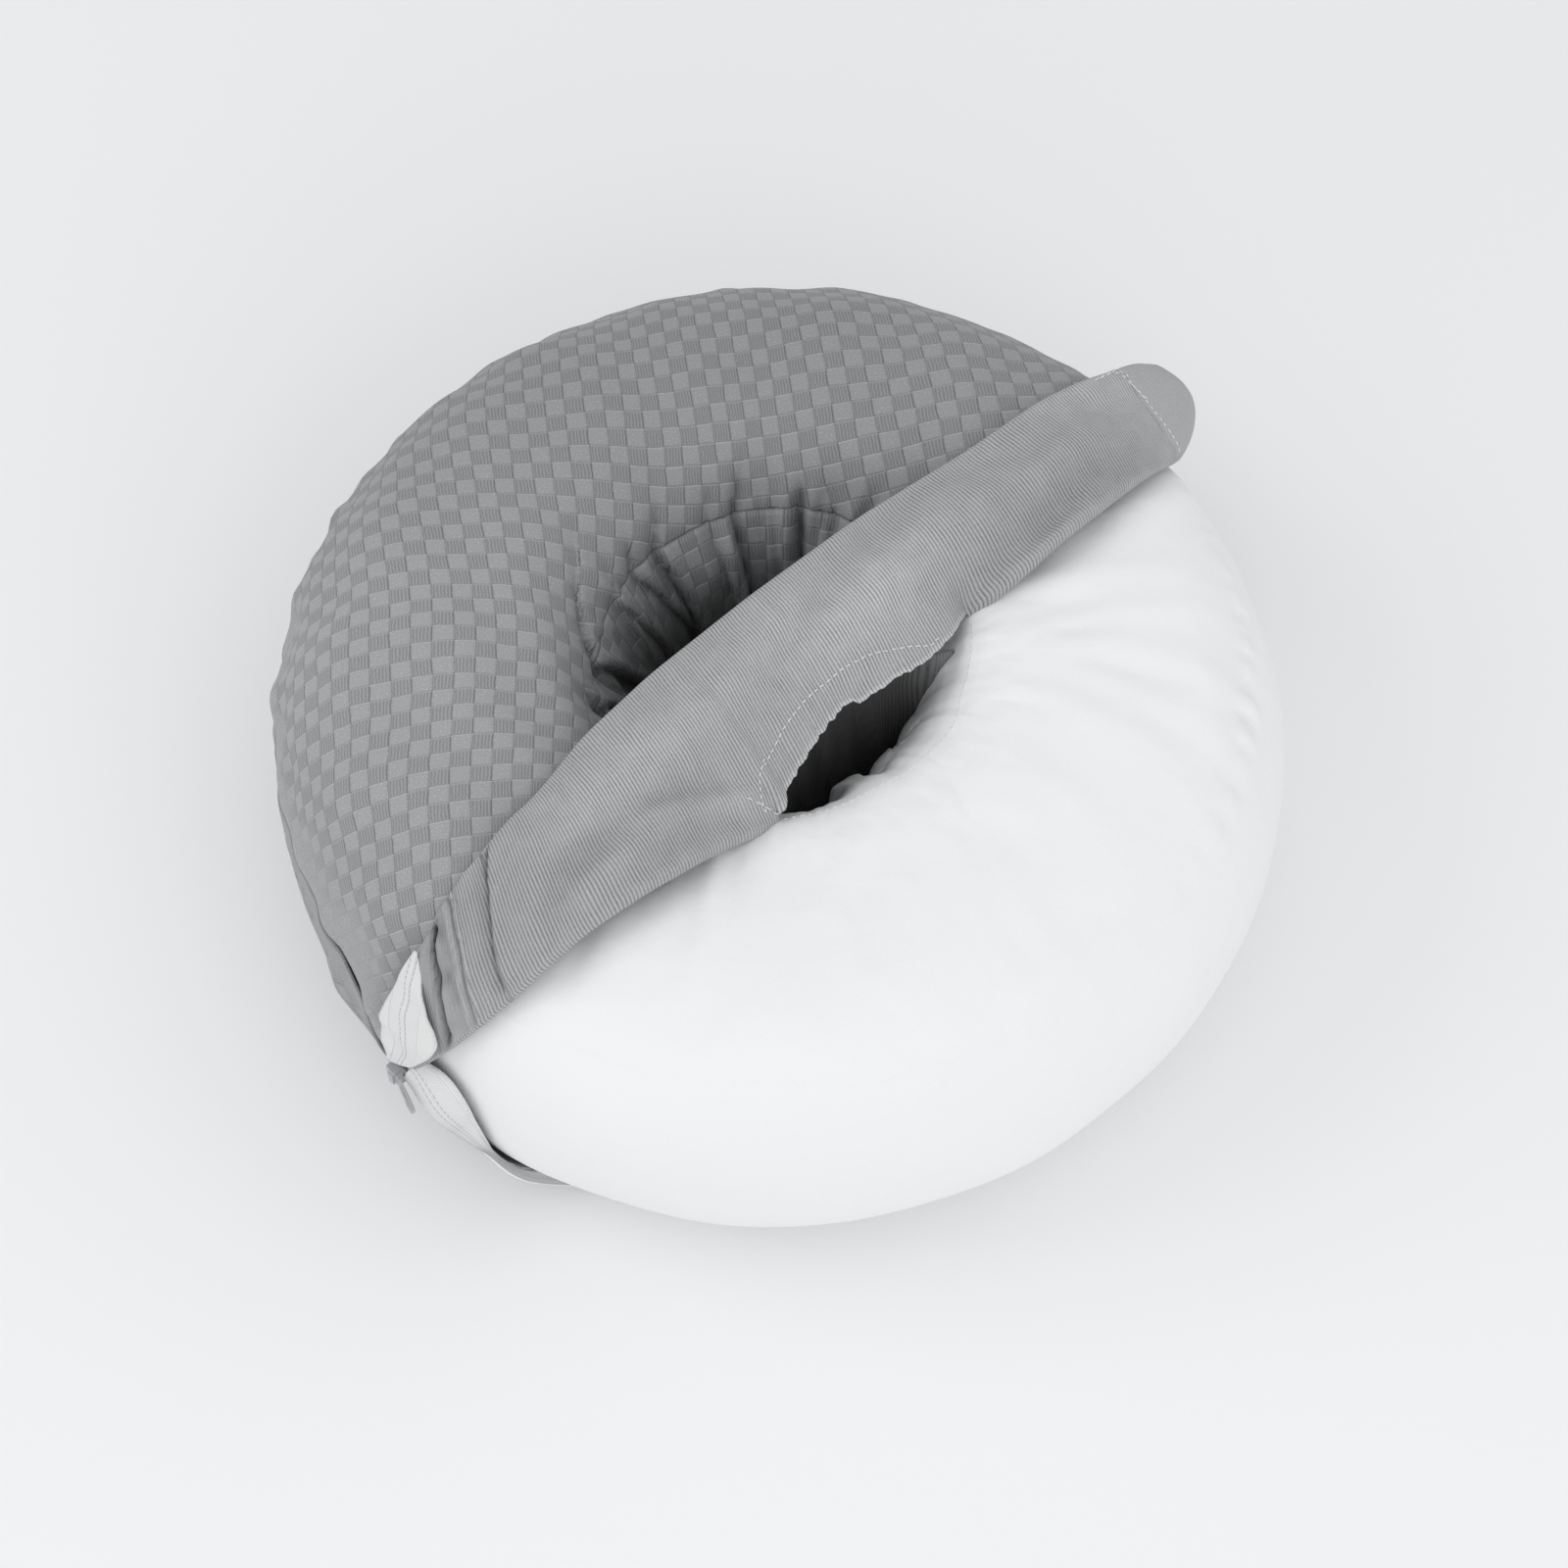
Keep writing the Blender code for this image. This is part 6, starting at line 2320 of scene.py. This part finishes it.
@dataclass
class Stitches:
    """Rows of short white stitches laid on the cloth's surface."""

    surface: BVHTree
    thread: float = 0.00021
    stitch: float = 0.0019
    pitch: float = 0.0026

    @staticmethod
    def surface_of(things: list[bpy.types.Object]) -> BVHTree:
        """A search tree of some pieces' faces.

        Args:
            things: The pieces.

        Returns:
            The tree.
        """
        points, faces = [], []
        for thing in things:
            start = len(points)
            points += [vertex.co.copy() for vertex in thing.data.vertices]
            faces += [[start + index for index in face.vertices] for face in thing.data.polygons]
        return BVHTree.FromPolygons(points, faces)

    def landed(self, place: Array, way: Array) -> tuple[Vector, Vector] | None:
        """Where a line from a place meets the cloth, and the normal there."""
        hit = self.surface.ray_cast(Vector(place), Vector(way), 0.08)
        return None if hit[0] is None else (hit[0], hit[1] if hit[1].dot(Vector(way)) < 0 else -hit[1])

    def row(self, places: Array, way: Array, seed: int) -> list[Patch]:
        """Stitches along a line of places, cast onto the cloth along a way.

        Args:
            places: The line, as points off the cloth.
            way: The way to cast, one vector or one for each place.
            seed: Picks the small irregularities.

        Returns:
            A tube for each stitch.
        """
        random = np.random.default_rng(seed)
        run = arc_lengths(places, 0)
        ways = np.broadcast_to(way, places.shape)
        patches = []
        for start in np.arange(0.0, run[-1] - self.stitch, self.pitch):
            ends = start + np.array((0.0, 0.5, 1.0)) * self.stitch * random.uniform(0.85, 1.1)
            spots = [
                self.landed(*([np.interp(end, run, line[:, axis]) for axis in range(3)] for line in (places, ways)))
                for end in ends
            ]
            if all(spots):
                patches.append(self.tube(spots))
        return patches

    def tube(self, spots: list[tuple[Vector, Vector]]) -> Patch:
        """One stitch: a rounded thread that dives into the cloth at both ends.

        Args:
            spots: Places and normals at its start, middle and end.

        Returns:
            Its tube.
        """
        first, middle, last = (np.array(spot[0]) for spot in spots)
        normal = np.array(spots[1][1])
        along = unit(last - first)
        side = unit(np.cross(normal, along))
        share = np.linspace(0, 1, 6)[:, None, None]
        angle = np.linspace(0, 2 * math.pi, 7)[None, :, None]
        path = (1 - share) * (1 - 2 * share) * first + 4 * share * (1 - share) * middle - share * (1 - 2 * share) * last
        swell = np.sqrt(np.maximum(1 - (2 * share - 1) ** 4, 0.0))
        lift = normal * self.thread * (1.5 * swell - 0.8)
        points = path + lift + self.thread * swell * (np.cos(angle) * side + np.sin(angle) * normal)
        return Patch(points, np.zeros(points.shape[:2] + (2,)))


@dataclass
class Trim:
    """The stitch rows on the folded cloth and at the bare ring's rim."""

    seams: SeamLines
    panel: TopPanel
    wall: HoleWall
    arcs: tuple[Table, ...] = (
        # short rows at the left end of the raw edge, and at the band's right end
        ((-0.0335, 0.0312), (-0.0391, 0.0354), (-0.0423, 0.0394), (-0.0450, 0.0434), (-0.0463, 0.0471)),
        ((0.1391, -0.0048), (0.1446, -0.0041), (0.1477, -0.0019), (0.1477, 0.0039), (0.1476, 0.0117)),
        ((0.1408, -0.0043), (0.1481, -0.0032), (0.1493, 0.0000), (0.1474, 0.0047)),
    )
    slant: tuple[float, float, float] = (0.0, 0.515, -0.857)
    rim_seam: Table = (
        # turn in degrees and radius
        (-98.9, 0.0611), (-89.4, 0.0600), (-79.5, 0.0586), (-67.1, 0.0580), (-57.5, 0.0576),
        (-47.8, 0.0590), (-39.2, 0.0598), (-28.5, 0.0608), (-18.7, 0.0586), (-2.5, 0.0593), (10.4, 0.0606),
    )

    def stitch_rows(self, cloth: Stitches) -> list[Patch]:
        """The stitch rows on the turned-back cloth, and the white ones at the bare ring's rim.

        Args:
            cloth: The cloth that they lie on.

        Returns:
            A tube for each stitch.
        """
        along = np.linspace(-0.0355, 0.0380, 120)
        arc = self.seams.place(along, self.wall.arc_across(along) - 0.0002, 0.17)
        slant = np.array(self.slant)
        lines = (self.panel.facing, *self.arcs)
        ends = [self.seams.place(*np.array(line).T, 0.127) - 0.035 * slant for line in lines]
        slanted = sum((cloth.row(line, slant, 4 + index) for index, line in enumerate(ends)), [])
        turn = np.radians(np.linspace(self.rim_seam[0][0], self.rim_seam[-1][0], 80))
        rim = at(turn, from_table(np.degrees(turn), self.rim_seam, spread=2.0), 0.17)
        return cloth.row(arc, -UP, 1) + slanted + cloth.row(rim, -UP, 3)

    def build(self, things: list[bpy.types.Object]) -> bpy.types.Object:
        """Sews the stitches onto the pieces.

        Args:
            things: The pieces that the stitches lie on.

        Returns:
            The finished piece.
        """
        patches = self.stitch_rows(Stitches(Stitches.surface_of(things)))
        thing = object_from_patches("stitches", patches)
        thing.data.materials.append(SewingThread().material())
        dress(thing, Slot.TAPE)
        return thing


# ---------------------------------------------------------------- studio


@dataclass
class Studio:
    """The floor, the soft light and the camera."""

    aim: tuple[float, float, float] = (0.0015, -0.0170, 0.0640)
    elevation: float = math.radians(59)
    distance: float = 1.10
    lens: float = 78.9
    sky: float = 0.80
    floor_size: float = 12.0
    sky_colour: tuple[float, float, float, float] = (0.985, 0.992, 1.0, 1.0)
    sensor: float = 36.0
    key_place: tuple[float, float, float] = (-1.5, 0.0, 1.5)
    key_size: float = 1.2
    key_power: float = 6.0
    front_place: tuple[float, float, float] = (0.7, -1.9, 1.4)
    front_size: float = 1.8
    front_power: float = 12.0

    def build(self) -> None:
        """Sets the floor, the lights and the camera up."""
        self.lay_floor()
        self.light()
        self.place_camera()
        bpy.context.scene.view_settings.view_transform = "Standard"

    def lay_floor(self) -> None:
        """A wide pale floor."""
        deselect_all()
        bpy.ops.mesh.primitive_plane_add(size=self.floor_size)
        floor = bpy.context.object
        floor.name = floor.data.name = "floor"
        floor.data.materials.append(PaleFloor().material())

    def lamp(self, name: str, place: tuple[float, float, float], size: float, power: float) -> None:
        """A square soft light that looks at the part.

        Args:
            name: Its name.
            place: Where it stands.
            size: The length of its side.
            power: Its power in watts.
        """
        light = bpy.data.lights.new(name, "AREA")
        light.shape = "SQUARE"
        light.size = size
        light.energy = power
        thing = bpy.data.objects.new(name, light)
        bpy.context.scene.collection.objects.link(thing)
        thing.location = place
        thing.rotation_euler = (Vector(self.aim) - Vector(place)).to_track_quat("-Z", "Y").to_euler()

    def light(self) -> None:
        """An even pale sky, a soft light from the left, and a wider one from the near side."""
        world = bpy.data.worlds.new("soft_sky")
        world.use_nodes = True
        world.node_tree.nodes["Background"].inputs["Color"].default_value = self.sky_colour
        world.node_tree.nodes["Background"].inputs["Strength"].default_value = self.sky
        bpy.context.scene.world = world
        self.lamp("key_light", self.key_place, self.key_size, self.key_power)
        self.lamp("front_light", self.front_place, self.front_size, self.front_power)

    def place_camera(self) -> None:
        """The camera, looking down at the part from the near side."""
        camera = bpy.data.cameras.new("camera")
        camera.lens = self.lens
        camera.sensor_width = self.sensor
        thing = bpy.data.objects.new("camera", camera)
        bpy.context.scene.collection.objects.link(thing)
        back = Vector((0.0, -math.cos(self.elevation), math.sin(self.elevation)))
        thing.location = Vector(self.aim) + back * self.distance
        thing.rotation_euler = (math.pi / 2 - self.elevation, 0.0, 0.0)
        bpy.context.scene.camera = thing


def corners(bounds: tuple) -> list[list[float]]:
    """A box's two corners as plain numbers."""
    return [[float(value) for value in corner] for corner in bounds]


def main() -> None:
    """Builds the part's pieces in order."""
    logging.basicConfig(level=logging.INFO, format="%(name)s: %(message)s")
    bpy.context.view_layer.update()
    Studio().build()
    ring = RingForm()
    seams = SeamLines(ring)
    panel = TopPanel(seams)
    wall = HoleWall(panel)
    under = BottomPanel(seams)
    filled = InnerPillow(ring, seams).build()
    pieces = [panel.build(), wall.build(), under.build()]
    LowerTape(under).build()
    UpperTape(ring).build()
    ZipSlider(ring).build()
    Trim(seams, panel, wall).build(pieces + [filled])


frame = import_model()
if __name__ == "__main__":
    main()
